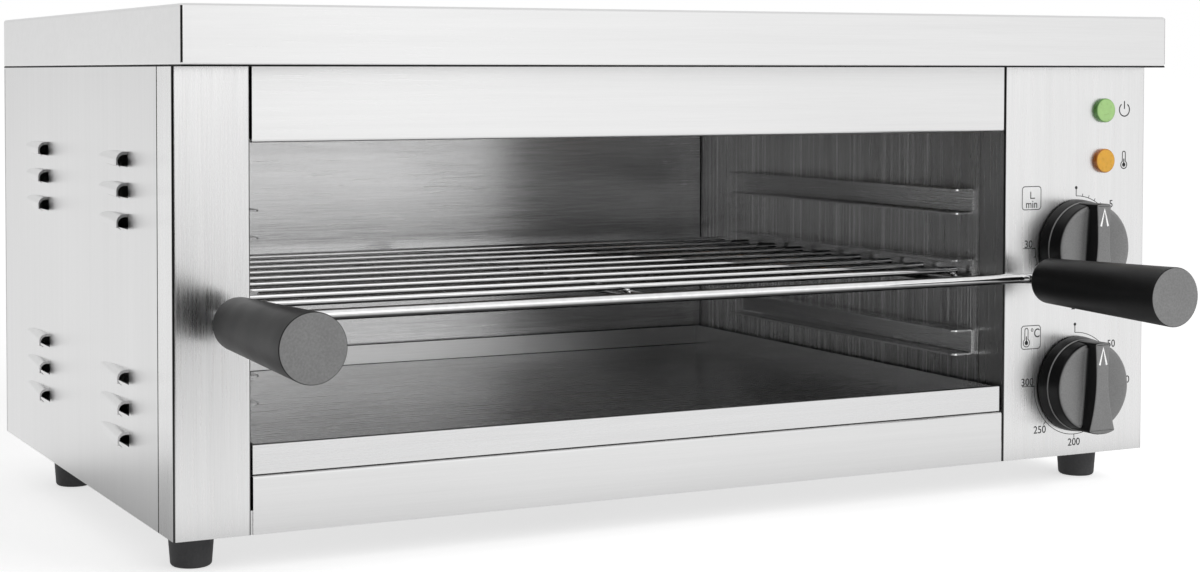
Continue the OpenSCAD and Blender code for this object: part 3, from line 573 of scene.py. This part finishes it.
def lamp_glass(name, color, deep):
    """Lens of a pilot lamp: clear tinted plastic over a pale diffuser. The rim is deeper in colour,
    by the distance from the lens's own axis kept in an attribute."""
    n = new_material(name)
    radius = n.add("ShaderNodeAttribute", attribute_name="from_axis").outputs["Fac"]
    rim = n.spread(radius, 0.0, 1.0, 0.86, 1.0, True)
    cloud = n.noise(400, 2.0, 0.5)
    base = n.mix(rim, n.tint(color, n.spread(cloud, 0.94, 1.05)), n.tint(deep, n.spread(cloud, 0.9, 1.1)),
                 "VECTOR")
    return n.finish({
        "Base Color": base, "Roughness": n.spread(cloud, 0.26, 0.36), "Coat Weight": 0.35,
        "Coat Roughness": 0.12, "Normal": n.bump(cloud, 0.06, 0.0001)})


def ink(name, color, glow=0.0):
    """Screen-printed ink, slightly uneven; a little glow, which is painted light, keeps white ink white in
    the shade.
    """
    n = new_material(name)
    speck = n.noise(2500, 2.0)
    return n.finish({"Base Color": n.tint(color, n.spread(speck, 0.8, 1.25)),
                     "Roughness": n.spread(speck, 0.5, 0.65),
                     "Emission Color": (1, 1, 1, 1), "Emission Strength": glow})


def heated_tube(name, cold, warm, hot):
    """Heater sheath: oxidised steel whose patches run through three tones, with fine scale."""
    n = new_material(name)
    scale = n.noise(900)
    patches = n.add("ShaderNodeValToRGB", {"Fac": n.noise((14, 60, 60))})
    ramp = patches.color_ramp
    ramp.elements.new(0.5)
    for element, place, color in zip(ramp.elements, (0.3, 0.5, 0.7), (cold, warm, hot)):
        element.position, element.color = place, (*color, 1)
    return n.finish({"Base Color": patches.outputs["Color"], "Metallic": 1.0,
                     "Roughness": n.spread(scale, 0.4, 0.6), "Normal": n.bump(scale, 0.2, 0.0001)})


FINISHES = {}


def finish_table():
    """Each finish by name, as its maker and what the maker is told."""
    steel, plastic = bpy.context.scene.melter_steel, bpy.context.scene.melter_plastic
    outer, inner, rough = tuple(steel.outer_color), tuple(steel.inner_color), steel.roughness
    front_lit = {"face": tuple(plastic.lit_face_color), "specular": 0.3}
    # the folded sheets get painted dark lines along their folds, a painted reflection of the dark flag
    folded = dict(color=outer, grain="z", roughness=rough - 0.04, streak=0.035, relief=0.22, coarse=1.3,
                  fold=0.95)
    runner = dict(color=inner, grain="y", roughness=0.24, streak=0.015, relief=0.0)
    makers = {
        brushed_steel: {
            "outer_plain": dict(color=outer, grain="x", roughness=rough, streak=0.025),
            "outer_upright": folded,
            # painted shade on the control panel's faces that look to the left
            "outer_panel": dict(folded, facing=(("X", -1, 0.62),)),
            "outer_side": dict(color=outer, grain="z", roughness=rough + 0.04, streak=0.02, relief=0.05),
            "cavity_back": dict(color=inner, grain="x", roughness=0.23, streak=0.08, relief=0.20, coarse=1.3),
            "cavity_side": dict(color=(1.0, 1.0, 1.0), grain="z", roughness=0.22, streak=0.10, relief=0.3,
                                anisotropy=0.6, coarse=3.0, ripple=0.0022, scores=0.34),
            # painted light on the faces that look to the front, and painted shade there in the shaded copy
            "cavity_runner": dict(runner, facing=(("Y", -1, 1.25),)),
            "cavity_runner_shaded": dict(runner, facing=(("Y", -1, 0.50),)),
            # the tray: painted dark lines along its folds, and painted shade on the faces that look up
            "cavity_tray": dict(color=inner, grain="x", roughness=0.25, streak=0.03, relief=0.08, fold=0.85,
                                facing=(("Z", 1, 0.92),)),
            # a paler copy of the inner steel: painted light on the tray's rear wall
            "tray_back": dict(color=(0.97, 0.97, 0.97), grain="x", roughness=0.36, streak=0.03, relief=0.08),
            "plated": dict(color=(0.62, 0.61, 0.56), grain="z", roughness=0.38, streak=0.05, anisotropy=0.0),
        },
        chrome: {
            # painted shade on the undersides of the rack's wires
            "chrome_wire": dict(underside_shade=0.12),
            "capillary": dict(color=(0.72, 0.42, 0.24), roughness=0.28),
        },
        moulded: {
            # the faces of grips and knobs that look to the front are paler: painted light
            "grip": dict(front_lit, color=tuple(plastic.grip_color), roughness=0.44, grain=900, relief=0.12),
            "knob": dict(front_lit, color=tuple(plastic.knob_color), roughness=0.34, grain=1400, relief=0.08,
                         turn=(0.5, 0.92)),
            "foot": dict(color=(0.09, 0.09, 0.093), roughness=0.5, grain=700, relief=0.15),
            "gland": dict(color=(0.03, 0.03, 0.032), roughness=0.4, grain=900, relief=0.1),
            "pale_plastic": dict(color=(0.62, 0.60, 0.54), roughness=0.45, grain=800, relief=0.1),
            "wire_cover": dict(color=(0.32, 0.09, 0.06), roughness=0.55, grain=1500, relief=0.25),
            # a near-black finish for lines of painted shade in gaps, corners and under the cap's skirt
            "seam": dict(color=(0.012, 0.012, 0.012), roughness=0.6, grain=1800, relief=0.1, specular=0.1),
        },
        heated_tube: {
            "heater": dict(cold=(0.16, 0.13, 0.15), warm=(0.26, 0.20, 0.14), hot=(0.36, 0.33, 0.31)),
        },
        lamp_glass: {
            "green_lens": dict(color=(0.45, 0.74, 0.27), deep=(0.14, 0.36, 0.08)),
            "orange_lens": dict(color=(0.90, 0.46, 0.035), deep=(0.55, 0.17, 0.02)),
        },
        ink: {
            "ink": dict(color=tuple(bpy.context.scene.melter_print.ink_color)),
            # the pointer's white ink glows a little: painted light
            "pointer_ink": dict(color=(0.90, 0.90, 0.89), glow=0.3),
        },
    }
    return {name: (maker, settings) for maker, group in makers.items() for name, settings in group.items()}


def finish_of(name):
    """A finish by name, made the first time that it is asked for."""
    if name not in FINISHES:
        maker, settings = finish_table()[name]
        FINISHES[name] = maker(name, **settings)
    return FINISHES[name]


def dress(finish, *names):
    """Gives the solids of these names a finish."""
    for name in names:
        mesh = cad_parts[name].data
        mesh.materials.clear()
        mesh.materials.append(finish_of(finish))


# ---------------------------------------------------------------- operators


class Undoable:
    """What all of the melter's operators share."""

    bl_options = {"REGISTER", "UNDO"}


class MELTER_OT_housing(Undoable, bpy.types.Operator):
    """Finish the outer sheets: upright grain on the stiles, level grain elsewhere"""

    bl_idname = "melter.housing"
    bl_label = "Housing Sheets"

    def execute(self, context):
        dress("outer_plain", "top_cap", "upper_fascia", "lower_fascia", "back_panel")
        dress("outer_upright", "left_stile")
        dress("outer_panel", "control_panel")
        dress("outer_side", "left_side_panel", "right_side_panel")
        low, high, _ = node_box("top_cap")
        # painted shade: dark lines under the cap's skirt, up its front corners and down the side panels'
        # front edges
        seams = [hem_shadow(low, high, 0.7 * MM)]
        for name, x, side, wide in (("left", low[0], 1, 0.75 * MM), ("right", high[0], -1, 0.1 * MM)):
            seams.append(corner_seam(x, low[1], low[2] + 1.8 * MM, high[2] - 1.0 * MM, side, wide))
            edge = node_box(f"{name}_side_panel")[0][1]
            seams.append(slab((x - OVER, edge - 0.5 * MM, PANEL_LOW[2]),
                              (x + OVER, edge + 0.7 * MM, low[2])))
        add_piece("cap_seams", merge(seams), "housing", "stainless_outer", "seam", False)
        return {"FINISHED"}


class MELTER_OT_cavity(Undoable, bpy.types.Operator):
    """Finish the cavity's sheets, runners and crumb tray"""

    bl_idname = "melter.cavity"
    bl_label = "Cavity Sheets"

    def execute(self, context):
        dress("cavity_back", "cavity_back_wall", "reflector", "bottom_plate")
        dress("cavity_side", "cavity_left_wall", "cavity_right_wall")
        dress("cavity_tray", "crumb_tray")
        runners = {side: [f"{side}_runner_{level}" for level in ("low", "middle", "high")] for side in SIDES}
        # painted light on the front ends of the right runners, hangers and clips; painted shade on those of
        # the left runners and the tray rails
        dress("cavity_runner", "element_hangers", "bulb_clips", *runners["right"])
        dress("cavity_runner_shaded", "left_tray_rail", "right_tray_rail", *runners["left"])
        # painted shade: a bevelled dark strip in each rear corner, in mm from the corner
        strip = np.array([(0.5, 0.3), (0.5, -0.04), (0.04, -0.5), (-0.3, -0.5)]) * MM
        back, top = node_box("cavity_back_wall")[0], node_box("reflector")[1][2]
        corners = ((node_box("cavity_right_wall")[0][0], -1), (node_box("cavity_left_wall")[1][0], 1))
        seams = [upright(strip * (side, 1) + (x, back[1]), back[2], top) for x, side in corners]
        add_piece("cavity_seams", merge(seams), "housing", "stainless_inner", "seam", False)
        # the tray's rear wall stands between a fold at its foot and its cut upper edge; a paler sheet over
        # the wall is painted light, and the dark lines at the fold and at the edge are painted shade
        low, high, _ = node_box("crumb_tray")
        sheet, rim = 1 * MM, 0.35 * MM
        inner, foot, edge = high[1] - sheet, low[2] + sheet, low[2] + 14.4 * MM
        start, stop = low[0] + 3 * sheet, high[0] - 3 * sheet

        def band(thick, bottom, top):
            """A solid that lies against the inside of the rear wall."""
            return slab((start, inner - thick, bottom), (stop, inner + 0.1 * MM, top))

        face = band(0.04 * MM, foot + 0.05 * MM, edge - 0.05 * MM)
        lines = [band(rim, foot - 0.1 * MM, foot + rim * 0.8),
                 band(0.05 * MM, edge - 0.5 * MM, edge + 0.05 * MM)]
        add_piece("tray_rear_lit_sheet", face, "tray", "stainless_inner", "tray_back", False)
        add_piece("tray_fold_shade", merge(lines), "tray", "stainless_inner", "seam", False)
        return {"FINISHED"}


class MELTER_OT_rack(Undoable, bpy.types.Operator):
    """Chromed rods of the rack, with rounded ends and a weld at each crossing"""

    bl_idname = "melter.rack"
    bl_label = "Wire Rack"

    def execute(self, context):
        settings = context.scene.melter_rack
        sides = settings.rod_sides
        low, high, (middle, _, front_z) = node_box("rack_front_rod")
        front_r, bend = (high[2] - low[2]) / 2, 8 * MM
        front_y, end = high[1] - front_r, low[0] + front_r
        # half of the bent rod: forward arm, quarter bend, and the straight front; the other half mirrors it
        turn = np.linspace(0, np.pi / 2, 14)
        left = np.stack([end + bend * (1 - np.cos(turn)), front_y - bend * (1 - np.sin(turn))], 1)
        arm = np.stack([np.full(3, end), np.linspace(low[1], front_y - bend - 1 * MM, 3)], 1)
        half = np.concatenate([arm, left])
        other = half[::-1] * (-1, 1) + (2 * middle, 0)
        path = np.concatenate([half, np.linspace(half[-1], other[0], 9)[1:-1], other])
        path = np.column_stack([path, np.full(len(path), front_z)])
        rod = add_piece("rack_front_bow", tube(path, front_r, sides), "rack", "chrome_wire")
        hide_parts("rack_front_rod")

        for side in RODS:
            low, high, (x, _, z) = node_box(f"rack_{side}_rod")
            r, start = (high[0] - low[0]) / 2, front_y + front_r - 1.2 * MM
            # near the front the rod climbs to the height of the front rod, in half a wave
            ahead = np.concatenate([[0, 0.3, 0.9], np.linspace(1.8, 22, 16), [120]]) * MM
            climb = (front_z - z) * (1 + np.cos(np.pi * np.clip(ahead / (20 * MM), 0, 1))) / 2
            shrink = np.full(len(ahead), r)
            shrink[:3] = r * np.array([0.55, 0.85, 0.97])
            path = np.column_stack([np.full(len(ahead), x), start + ahead, z + climb])
            tail, dome = np.linspace(0, np.pi / 2, 6), 0.6 * r
            path = np.concatenate([path, np.column_stack([
                np.full(6, x), high[1] - dome * (1 - np.sin(tail)), np.full(6, z)])])
            shrink = np.concatenate([shrink, r - dome * (1 - np.cos(tail))])
            bar = add_piece(f"rack_{side}_bar", tube(path, shrink, sides), "rack", "chrome_wire")
            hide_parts(f"rack_{side}_rod")

        low, high, (_, _, wire_z) = node_box("rack_cross_wires")
        wire_r, pitch = (high[2] - low[2]) / 2, 32.6 * MM
        first, last = low[1] + wire_r, high[1] - wire_r
        ys = np.linspace(first, last, 1 + round((last - first) / pitch))
        rods = [rod_between((low[0], y, wire_z), (high[0], y, wire_z), wire_r, sides) for y in ys]
        wires = add_piece("rack_wires", merge(rods), "rack", "chrome_wire")
        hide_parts("rack_cross_wires")

        # a weld is a low ellipsoid where a wire lies across a long rod
        ball, faces = revolve(np.array([[math.sin(a), -math.cos(a)] for a in np.linspace(0, math.pi, 9)]), 14)
        size = settings.weld_size * np.array([1.35, 1.15, 0.55])
        welds = []
        for side in RODS:
            _, high, (x, _, _) = node_box(f"rack_{side}_rod")
            welds += [(ball * size + (x, y, high[2]), faces) for y in ys]
            welds.append((ball * size * (1.3, 1.2, 1.9) + (x, front_y + front_r, front_z + 0.3 * MM), faces))
        add_piece("rack_welds", merge(welds), "rack", "chrome_wire")
        return {"FINISHED"}


class MELTER_OT_grips(Undoable, bpy.types.Operator):
    """Two tapered grips with a rounded rear end and a flat front face"""

    bl_idname = "melter.grips"
    bl_label = "Grips"

    def execute(self, context):
        for side in SIDES:
            low, high, (x, _, z) = node_box(f"{side}_grip")
            length, front, rear = high[1] - low[1], (high[0] - low[0]) / 2, 13 * MM
            profile = rounded_profile(
                [(0, 0), (3.4 * MM, 0), (rear, 0), (front, length), (0, length)],
                [0.2 * MM, 3.0 * MM, 0.7 * MM], 8)
            verts, faces = revolve(profile)
            shape = to_front(verts, x, high[1], z), faces
            grip = add_piece(f"{side}_handle", shape, "rack", "grip_plastic", "grip")
            sharpen(grip)
            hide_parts(f"{side}_grip")
        return {"FINISHED"}


def sharpen(piece, angle=32):
    """Shades a piece smooth, but keeps its edges sharper than the angle."""
    for other in bpy.context.selected_objects:
        other.select_set(False)
    bpy.context.view_layer.objects.active = piece
    piece.select_set(True)
    bpy.ops.object.shade_smooth_by_angle(angle=math.radians(angle))
    piece.select_set(False)


def face_height(u, v):
    """Height in mm of a knob's front face at a point: level with the rim at its edge, and on each side of
    the bar a shallow trough that is deepest near the bar and fades out towards the rim."""
    depth, reach = 2.4, 26
    inward = 1 - np.clip(np.hypot(u, v) / FACE_R, 0, 1) ** 2
    trough = depth * (1 - np.clip(np.abs(u) / reach, 0, 1) ** 2)
    return RIM_TOP - trough * inward


def knob_body(skirt_r):
    """The round part of a knob in metres: a profile turned about the axis, with a hollow back round a hub,
    a tapered skirt, a step, a flank with a rounded rim and the troughed face; its back is at height 0."""
    thin = 0.75
    outside = rounded_profile(
        [(0, 1.2), (6.7, 1.2), (6.8, 7.0), (23.6, 7.0), (24.0, 0.0), (skirt_r, 0.0),
         (skirt_r - thin, SKIRT_TOP), (26.75, SKIRT_TOP), (26.1, RIM_TOP), (FACE_R, RIM_TOP), (0, RIM_TOP)],
        [0.3, 0.5, 0.8, 0.3, 0.5, 0.75, 0.25, 2.15, 0], 8)[:-1]
    across = np.linspace(FACE_R, 0, 26)[1:]
    profile = np.concatenate([outside, np.column_stack([across, np.full(25, RIM_TOP)])])
    verts, faces = revolve(profile, 144)
    u, v = verts[:, 0], verts[:, 1]
    front = (np.hypot(u, v) < FACE_R) & (verts[:, 2] > RIM_TOP - 3.8)
    verts[:, 2] = np.where(front, face_height(u, v), verts[:, 2])
    return verts * MM, faces


def finger_bar():
    """A knob's finger bar in metres. Each side of its plan is a parabola about the waist, steeper
    downwards, blended into the circle of the rim at both ends. The wall is that outline at rising
    heights: it leaves the face in a hollow fillet and turns over a small round edge into the top."""
    waist, low_point, blend = 4.7, 7.0, 1.7
    v = 27.0 * np.cos(np.linspace(0.02, np.pi - 0.02, 140))
    side = waist + (v - low_point) ** 2 / np.where(v > low_point, 420, 196)
    rim = np.sqrt(RIM_R ** 2 - v ** 2)
    half = (side + rim - np.sqrt((side - rim) ** 2 + blend)) / 2
    right = np.column_stack([half, v])
    outline = np.concatenate([right, right[::-1] * (-1, 1)])
    run = np.roll(outline, -1, 0) - np.roll(outline, 1, 0)
    out = np.column_stack([-run[:, 1], run[:, 0]]) / np.linalg.norm(run, axis=1, keepdims=True)
    inside = np.hypot(*outline.T) < 24.2
    foot = np.where(inside, face_height(*outline.T), SKIRT_TOP - 0.8)
    fillet, edge = 2.6, 1.1
    turn = np.linspace(0, np.pi / 2, 9)
    rise = [foot - 0.6] + [foot + fillet * (1 - math.cos(a)) for a in turn]
    push = [np.where(inside, fillet, 0.0)] + [np.where(inside, fillet * (1 - math.sin(a)), 0.0) for a in turn]
    rise += [np.full(len(foot), BAR_TOP - edge * (1 - math.sin(a))) for a in turn]
    push += [np.full(len(foot), -edge * (1 - math.cos(a))) for a in turn]
    rise, push = np.array(rise), np.array(push)
    rings = outline[None] + push[..., None] * out[None]
    verts = np.concatenate([rings, rise[..., None]], -1).reshape(-1, 3)
    count, rows = len(outline), len(rise)
    top = (rows - 1) * count
    pairs = [[j, j + 1, count - 2 - j, count - 1 - j] for j in range(len(v) - 1)]
    caps = [[top + k for k in pair] for pair in pairs] + flip(pairs)
    return verts * MM, flip(grid_faces(rows, count) + caps)


class MELTER_OT_knobs(Undoable, bpy.types.Operator):
    """Finish of both knobs and shafts, with a white pointer on each finger bar"""

    bl_idname = "melter.knobs"
    bl_label = "Knobs"

    def execute(self, context):
        dress("plated", "timer_shaft", "thermostat_shaft", "control_screws")
        dress("pale_plastic", "timer_body", "thermostat_body")
        for dial in ("timer", "thermostat"):
            low, high, (x, _, z) = node_box(f"{dial}_knob")
            verts, faces = merge([knob_body((high[0] - low[0]) / 2 / MM), finger_bar()])
            verts[:, 2] = np.minimum(verts[:, 2] + FRONT_Y - high[1], FRONT_Y - low[1])
            shape = to_front(verts, x, FRONT_Y, z), faces
            knob = add_piece(f"{dial}_grip_knob", shape, f"{dial}_dial", "knob_plastic", "knob")
            sharpen(knob, 38)
            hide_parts(f"{dial}_knob")
            legs = np.array([(-2.4, 13.9), (0.2, 23.7), (2.8, 13.9)]) * MM + (x, z)
            mark = ink_strip(legs, 1.3 * MM, y=low[1] - 0.005 * MM, thickness=0.02 * MM)
            add_piece(f"{dial}_pointer", mark, f"{dial}_dial", "knob_plastic", "pointer_ink", False)
        return {"FINISHED"}


class MELTER_OT_dial_print(Undoable, bpy.types.Operator):
    """Scales, numbers and framed symbols of the two dials"""

    bl_idname = "melter.dial_print"
    bl_label = "Dial Printing"

    def execute(self, context):
        settings = context.scene.melter_print
        tall, line, arc_r = settings.digit_height, 0.40 * MM, settings.arc_radius
        for dial, step, minor in (("timer", 5, 5), ("thermostat", 50, 1)):
            _, _, (x, _, z) = node_box(f"{dial}_knob")

            def spot(angle, r):
                """A point at an angle, clockwise from the top in degrees, and a radius round the dial."""
                return x + r * math.sin(math.radians(angle)), z + r * math.cos(math.radians(angle))

            parts = [ink_strip([spot(a, arc_r) for a in np.linspace(0, 270, 91)], line),
                     ink_strip([spot(0, arc_r), spot(0, 35 * MM)], line * 1.3),
                     ink_disc(*spot(0, 35.3 * MM), 0.95 * MM)]
            for k in range(1, 6 * minor + 1):
                angle, reach = 45 * k / minor, (2.3 if k % minor == 0 else 1.6) * MM
                parts.append(ink_strip([spot(angle, arc_r), spot(angle, arc_r + reach)], line))
            for k in range(1, 7):
                words = str(step * k)
                wide = len(words) * tall * 0.57
                tx, tz = spot(45 * k, settings.label_radius)
                tz += LABEL_LIFTS.get(k, 0) * MM
                if k in LABEL_STARTS:
                    tx = x + LABEL_STARTS[k] * MM + wide / 2
                if k == 1:
                    tz = z + (27.8 - 2.7 * len(words)) * MM
                elif k == 6:
                    tx, level = tx + 1.2 * MM, z + 0.3 * MM
                    parts.append(ink_strip([(x - arc_r, level), (x - 39.3 * MM, level)], line))
                parts.append(ink_words(words, tx, tz, tall))
            add_piece(f"{dial}_scale", merge(parts), "housing", "knob_plastic", "ink", False)
        return {"FINISHED"}


def round_frame(corners, line):
    """A printed frame: a closed line round the box between two corners; its own corners are quarter
    circles."""
    (left, low), (right, high) = corners
    radius, swing = 2.0 * MM, np.linspace(0, np.pi / 2, 8)
    centres = [(right - radius, high - radius), (left + radius, high - radius),
               (left + radius, low + radius), (right - radius, low + radius)]
    points = np.concatenate([
        np.stack([x + radius * np.cos(swing + k * np.pi / 2), z + radius * np.sin(swing + k * np.pi / 2)], 1)
        for k, (x, z) in enumerate(centres)])
    return ink_strip(points, line, closed=True)


def thermometer(x, low, tall, bulb, stem, line):
    """A printed thermometer: an outline of two walls joined by a half circle above and most of a circle
    below, with a filled bulb and a short column inside it."""
    high = low + tall
    gap = math.asin(stem / bulb)
    round_top = np.linspace(0, np.pi, 9)
    round_bulb = np.linspace(np.pi / 2 + gap, 5 * np.pi / 2 - gap, 26)
    centre = low + bulb
    points = np.concatenate([
        np.stack([x + stem * np.cos(round_top), high - stem + stem * np.sin(round_top)], 1),
        np.stack([x + bulb * np.cos(round_bulb), centre + bulb * np.sin(round_bulb)], 1)])
    return [ink_strip(points, line, closed=True), ink_disc(x, centre, bulb * 0.55, 24),
            ink_strip([(x, centre), (x, centre + (high - centre) * 0.45)], line * 1.3)]


class MELTER_OT_symbols(Undoable, bpy.types.Operator):
    """Symbols beside the lamps and the framed ones beside the dials"""

    bl_idname = "melter.symbols"
    bl_label = "Symbols"

    def execute(self, context):
        line, thick = 0.46 * MM, 0.72 * MM

        def at(place):
            """A place on the panel in metres."""
            return place[0] * MM, BODY_TOP + place[1] * MM

        # power: a ring open at the top with an upright stroke
        x, z = at(POWER_SIGN)
        swing = np.linspace(math.radians(125), math.radians(415), 40)
        ring = np.stack([x + POWER_R * MM * np.cos(swing), z + POWER_R * MM * np.sin(swing)], 1)
        parts = [ink_strip(ring, thick), ink_strip([(x, z + 0.4 * MM), (x, z + 5.2 * MM)], thick)]
        # heating: a thermometer
        parts += thermometer(*at(HEAT_SIGN), 10.4 * MM, 2.3 * MM, 1.15 * MM, 0.6 * MM)
        # timer frame with clock hands and min
        parts.append(round_frame([at(corner) for corner in TIMER_FRAME], line))
        x, z = at(CLOCK_HANDS)
        parts.append(ink_strip([(x, z + 3.9 * MM), (x, z), (x + 3.2 * MM, z)], 0.6 * MM))
        parts.append(ink_words("min", *at(MIN_SIGN), 4.5 * MM, 0.92))
        # thermostat frame with a thermometer and the sign for degrees Celsius
        parts.append(round_frame([at(corner) for corner in THERMOSTAT_FRAME], line))
        parts += thermometer(*at(THERMOSTAT_SIGN), 11.0 * MM, 2.35 * MM, 1.2 * MM, 0.5 * MM)
        parts.append(ink_words("°C", *at(CELSIUS_SIGN), 5.2 * MM, 0.86))
        add_piece("panel_symbols", merge(parts), "housing", "knob_plastic", "ink", False)
        return {"FINISHED"}


class MELTER_OT_lamps(Undoable, bpy.types.Operator):
    """Green and orange pilot lenses: flat buttons with a soft edge"""

    bl_idname = "melter.lamps"
    bl_label = "Pilot Lamps"

    def execute(self, context):
        for color in ("green", "orange"):
            low, high, (x, _, z) = node_box(f"{color}_lens")
            r, rise = (high[0] - low[0]) / 2, high[1] - low[1]
            profile = rounded_profile(
                [(0, 0), (r, 0), (r, rise), (r * 0.5, rise), (0, rise)], [0.1 * MM, 0.9 * MM, 0.5 * MM], 7)
            verts, faces = revolve(profile, 72)
            shape = to_front(verts, x, high[1], z), faces
            lens = add_piece(f"{color}_button", shape, "housing", f"{color}_lens")
            far = np.hypot(verts[:, 0], verts[:, 1]) / r
            far = np.maximum(far, np.where(verts[:, 2] < rise - 0.8 * MM, 1.0, 0.0)).astype(np.float32)
            lens.data.attributes.new("from_axis", "FLOAT", "POINT").data.foreach_set("value", far)
            sharpen(lens)
            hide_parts(f"{color}_lens")
        dress("pale_plastic", "green_lamp_body", "orange_lamp_body")
        return {"FINISHED"}


class MELTER_OT_heating(Undoable, bpy.types.Operator):
    """Finish of the heating tubes and what holds and feeds them"""

    bl_idname = "melter.heating"
    bl_label = "Heating"

    def execute(self, context):
        dress("heater", "front_element", "rear_element")
        dress("plated", "element_flanges")
        dress("pale_plastic", "element_beads", "terminal_block")
        dress("capillary", "sensing_bulb")
        dress("wire_cover", "internal_wiring")
        return {"FINISHED"}


class MELTER_OT_fittings(Undoable, bpy.types.Operator):
    """Finish of the feet, screws and cable gland"""

    bl_idname = "melter.fittings"
    bl_label = "Feet and Fittings"

    def execute(self, context):
        dress("foot", *(f"foot_{end}_{side}" for end in ("front", "back") for side in SIDES))
        dress("plated", "foot_screws", "foot_nuts", "back_screws")
        dress("gland", "cable_gland", "gland_locknut")
        return {"FINISHED"}


class MELTER_OT_stage(Undoable, bpy.types.Operator):
    """Pale floor, soft light from all round, one large lamp and the camera"""

    bl_idname = "melter.stage"
    bl_label = "Studio"

    def execute(self, context):
        scene, settings = context.scene, context.scene.melter_stage
        ground = new_material("studio_floor")
        seen, mirrored = ground.rays()
        tone = ground.times(ground.spread(ground.noise(30, 2.0), 0.995, 1.005),
                            ground.maths("SUBTRACT", 1.0, mirrored))
        pale = ground.add("ShaderNodeBsdfDiffuse", {"Color": ground.tint((0.86, 0.86, 0.86), tone)})
        # painted shadow: mirrored in the metal, the floor's glow darkens towards the housing's foot
        foot = (CAD_HIGH[0], -CAD_LOW[1] * 0.62, 0)
        beyond = ground.vector("SUBTRACT", ground.vector("ABSOLUTE", ground.coords), foot)
        beyond = ground.vector("MULTIPLY", ground.vector("MAXIMUM", beyond), (0.7, 2.6, 0))
        ramp = ground.spread(ground.vector("LENGTH", beyond, result="Value"), 0.28, 0.93, -0.05, 0.24, True)
        # and further out it is black cloth at the front left, as the flag in the world above it
        far = ground.vector("LENGTH", ground.coords, result="Value")
        cloth = ground.flagged(ground.vector("NORMALIZE", ground.coords))
        ramp = ground.times(ramp, ground.mix(ground.spread(far, 0.0, 1.0, 0.6, 0.9), 1.0, cloth))
        plain = ground.times(seen, ground.spread(far, 0.60, 0.68, 0.8, 2.5))
        strength = ground.maths("ADD", plain, ground.times(mirrored, ramp))
        glow = ground.add("ShaderNodeEmission", {"Color": (1, 1, 1, 1), "Strength": strength})
        ground.show(ground.add("ShaderNodeAddShader", {0: pale.outputs[0], 1: glow.outputs[0]}))
        mesh = bpy.data.meshes.new("studio_floor")
        corners = [(x * FLOOR_SPAN, y * FLOOR_SPAN, 0) for x, y in ((-1, -1), (1, -1), (1, 1), (-1, 1))]
        mesh.from_pydata(corners, [], [(0, 1, 2, 3)])
        mesh.materials.append(ground.owner)
        floor = place("studio_floor", mesh)
        floor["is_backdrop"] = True

        world = Nodes(bpy.data.worlds.new("studio"), "ShaderNodeOutputWorld", "Generated")
        seen, mirrored = world.rays()
        # reflections: brightest from straight ahead, greyer from the sides and the back, and dark where
        # the flag draws the lines along folds and plastics
        glossy = world.spread(world.parts(world.coords)["Y"], 1.37, 0.80, -1.0, -0.66)
        glossy = world.times(glossy, world.flagged(world.coords))
        strength = world.mix(seen, world.mix(mirrored, settings.sky_diffuse, glossy), 1.0)
        sky = world.add("ShaderNodeBackground", {"Color": (1, 1, 1, 1), "Strength": strength})
        scene.world = world.show(sky)

        lamp = bpy.data.lights.new("key", "AREA")
        lamp.shape, (lamp.size, lamp.size_y) = "RECTANGLE", KEY_SIZE
        lamp.energy = settings.key_power
        key = place("key", lamp)
        key.location = KEY_AT
        aim = np.subtract(KEY_AIM, KEY_AT)
        tilt, swing = math.acos(-aim[2] / np.linalg.norm(aim)), math.atan2(aim[1], aim[0]) - math.pi / 2
        key.rotation_euler = (tilt, 0, swing)
        key.visible_glossy = False

        lens = bpy.data.cameras.new("camera")
        lens.sensor_width, lens.lens = SENSOR, FOCAL / PIXELS[0] * SENSOR
        lens.shift_x = (PIXELS[0] / 2 - CENTRE[0]) / PIXELS[0]
        lens.shift_y = (CENTRE[1] - PIXELS[1] / 2) / PIXELS[0]
        lens.clip_end = 200
        camera = place("camera", lens)
        camera.location = CAMERA_AT
        camera.rotation_euler = (math.pi / 2 - PITCH, 0, -YAW)
        scene.camera = camera
        scene.view_settings.view_transform = "Standard"
        return {"FINISHED"}


class MELTER_PT_parts(bpy.types.Panel):
    """Lists the melter's pieces and settings"""

    bl_idname = "MELTER_PT_parts"
    bl_label = "Cheese Melter"
    bl_space_type = "VIEW_3D"
    bl_region_type = "UI"
    bl_category = "Melter"

    def draw(self, context):
        for group in GROUPS:
            box = self.layout.box()
            settings = getattr(context.scene, group)
            for name in settings.__annotations__:
                box.prop(settings, name)
        for operator in OPERATORS:
            self.layout.operator(operator.bl_idname)


GROUPS = {
    "melter_steel": MelterSteel, "melter_plastic": MelterPlastic, "melter_print": MelterPrint,
    "melter_rack": MelterRack, "melter_stage": MelterStage,
}
OPERATORS = (
    MELTER_OT_housing, MELTER_OT_cavity, MELTER_OT_rack, MELTER_OT_grips, MELTER_OT_knobs,
    MELTER_OT_dial_print, MELTER_OT_symbols, MELTER_OT_lamps, MELTER_OT_heating, MELTER_OT_fittings,
    MELTER_OT_stage,
)


def register():
    for name, group in GROUPS.items():
        bpy.utils.register_class(group)
        setattr(bpy.types.Scene, name, bpy.props.PointerProperty(type=group))
    for operator in OPERATORS:
        bpy.utils.register_class(operator)
    bpy.utils.register_class(MELTER_PT_parts)


def unregister():
    bpy.utils.unregister_class(MELTER_PT_parts)
    for operator in reversed(OPERATORS):
        bpy.utils.unregister_class(operator)
    for name, group in reversed(GROUPS.items()):
        delattr(bpy.types.Scene, name)
        bpy.utils.unregister_class(group)


def main():
    register()
    for operator in OPERATORS:
        group, name = operator.bl_idname.split(".")
        getattr(getattr(bpy.ops, group), name)()


if __name__ == "__main__":
    main()
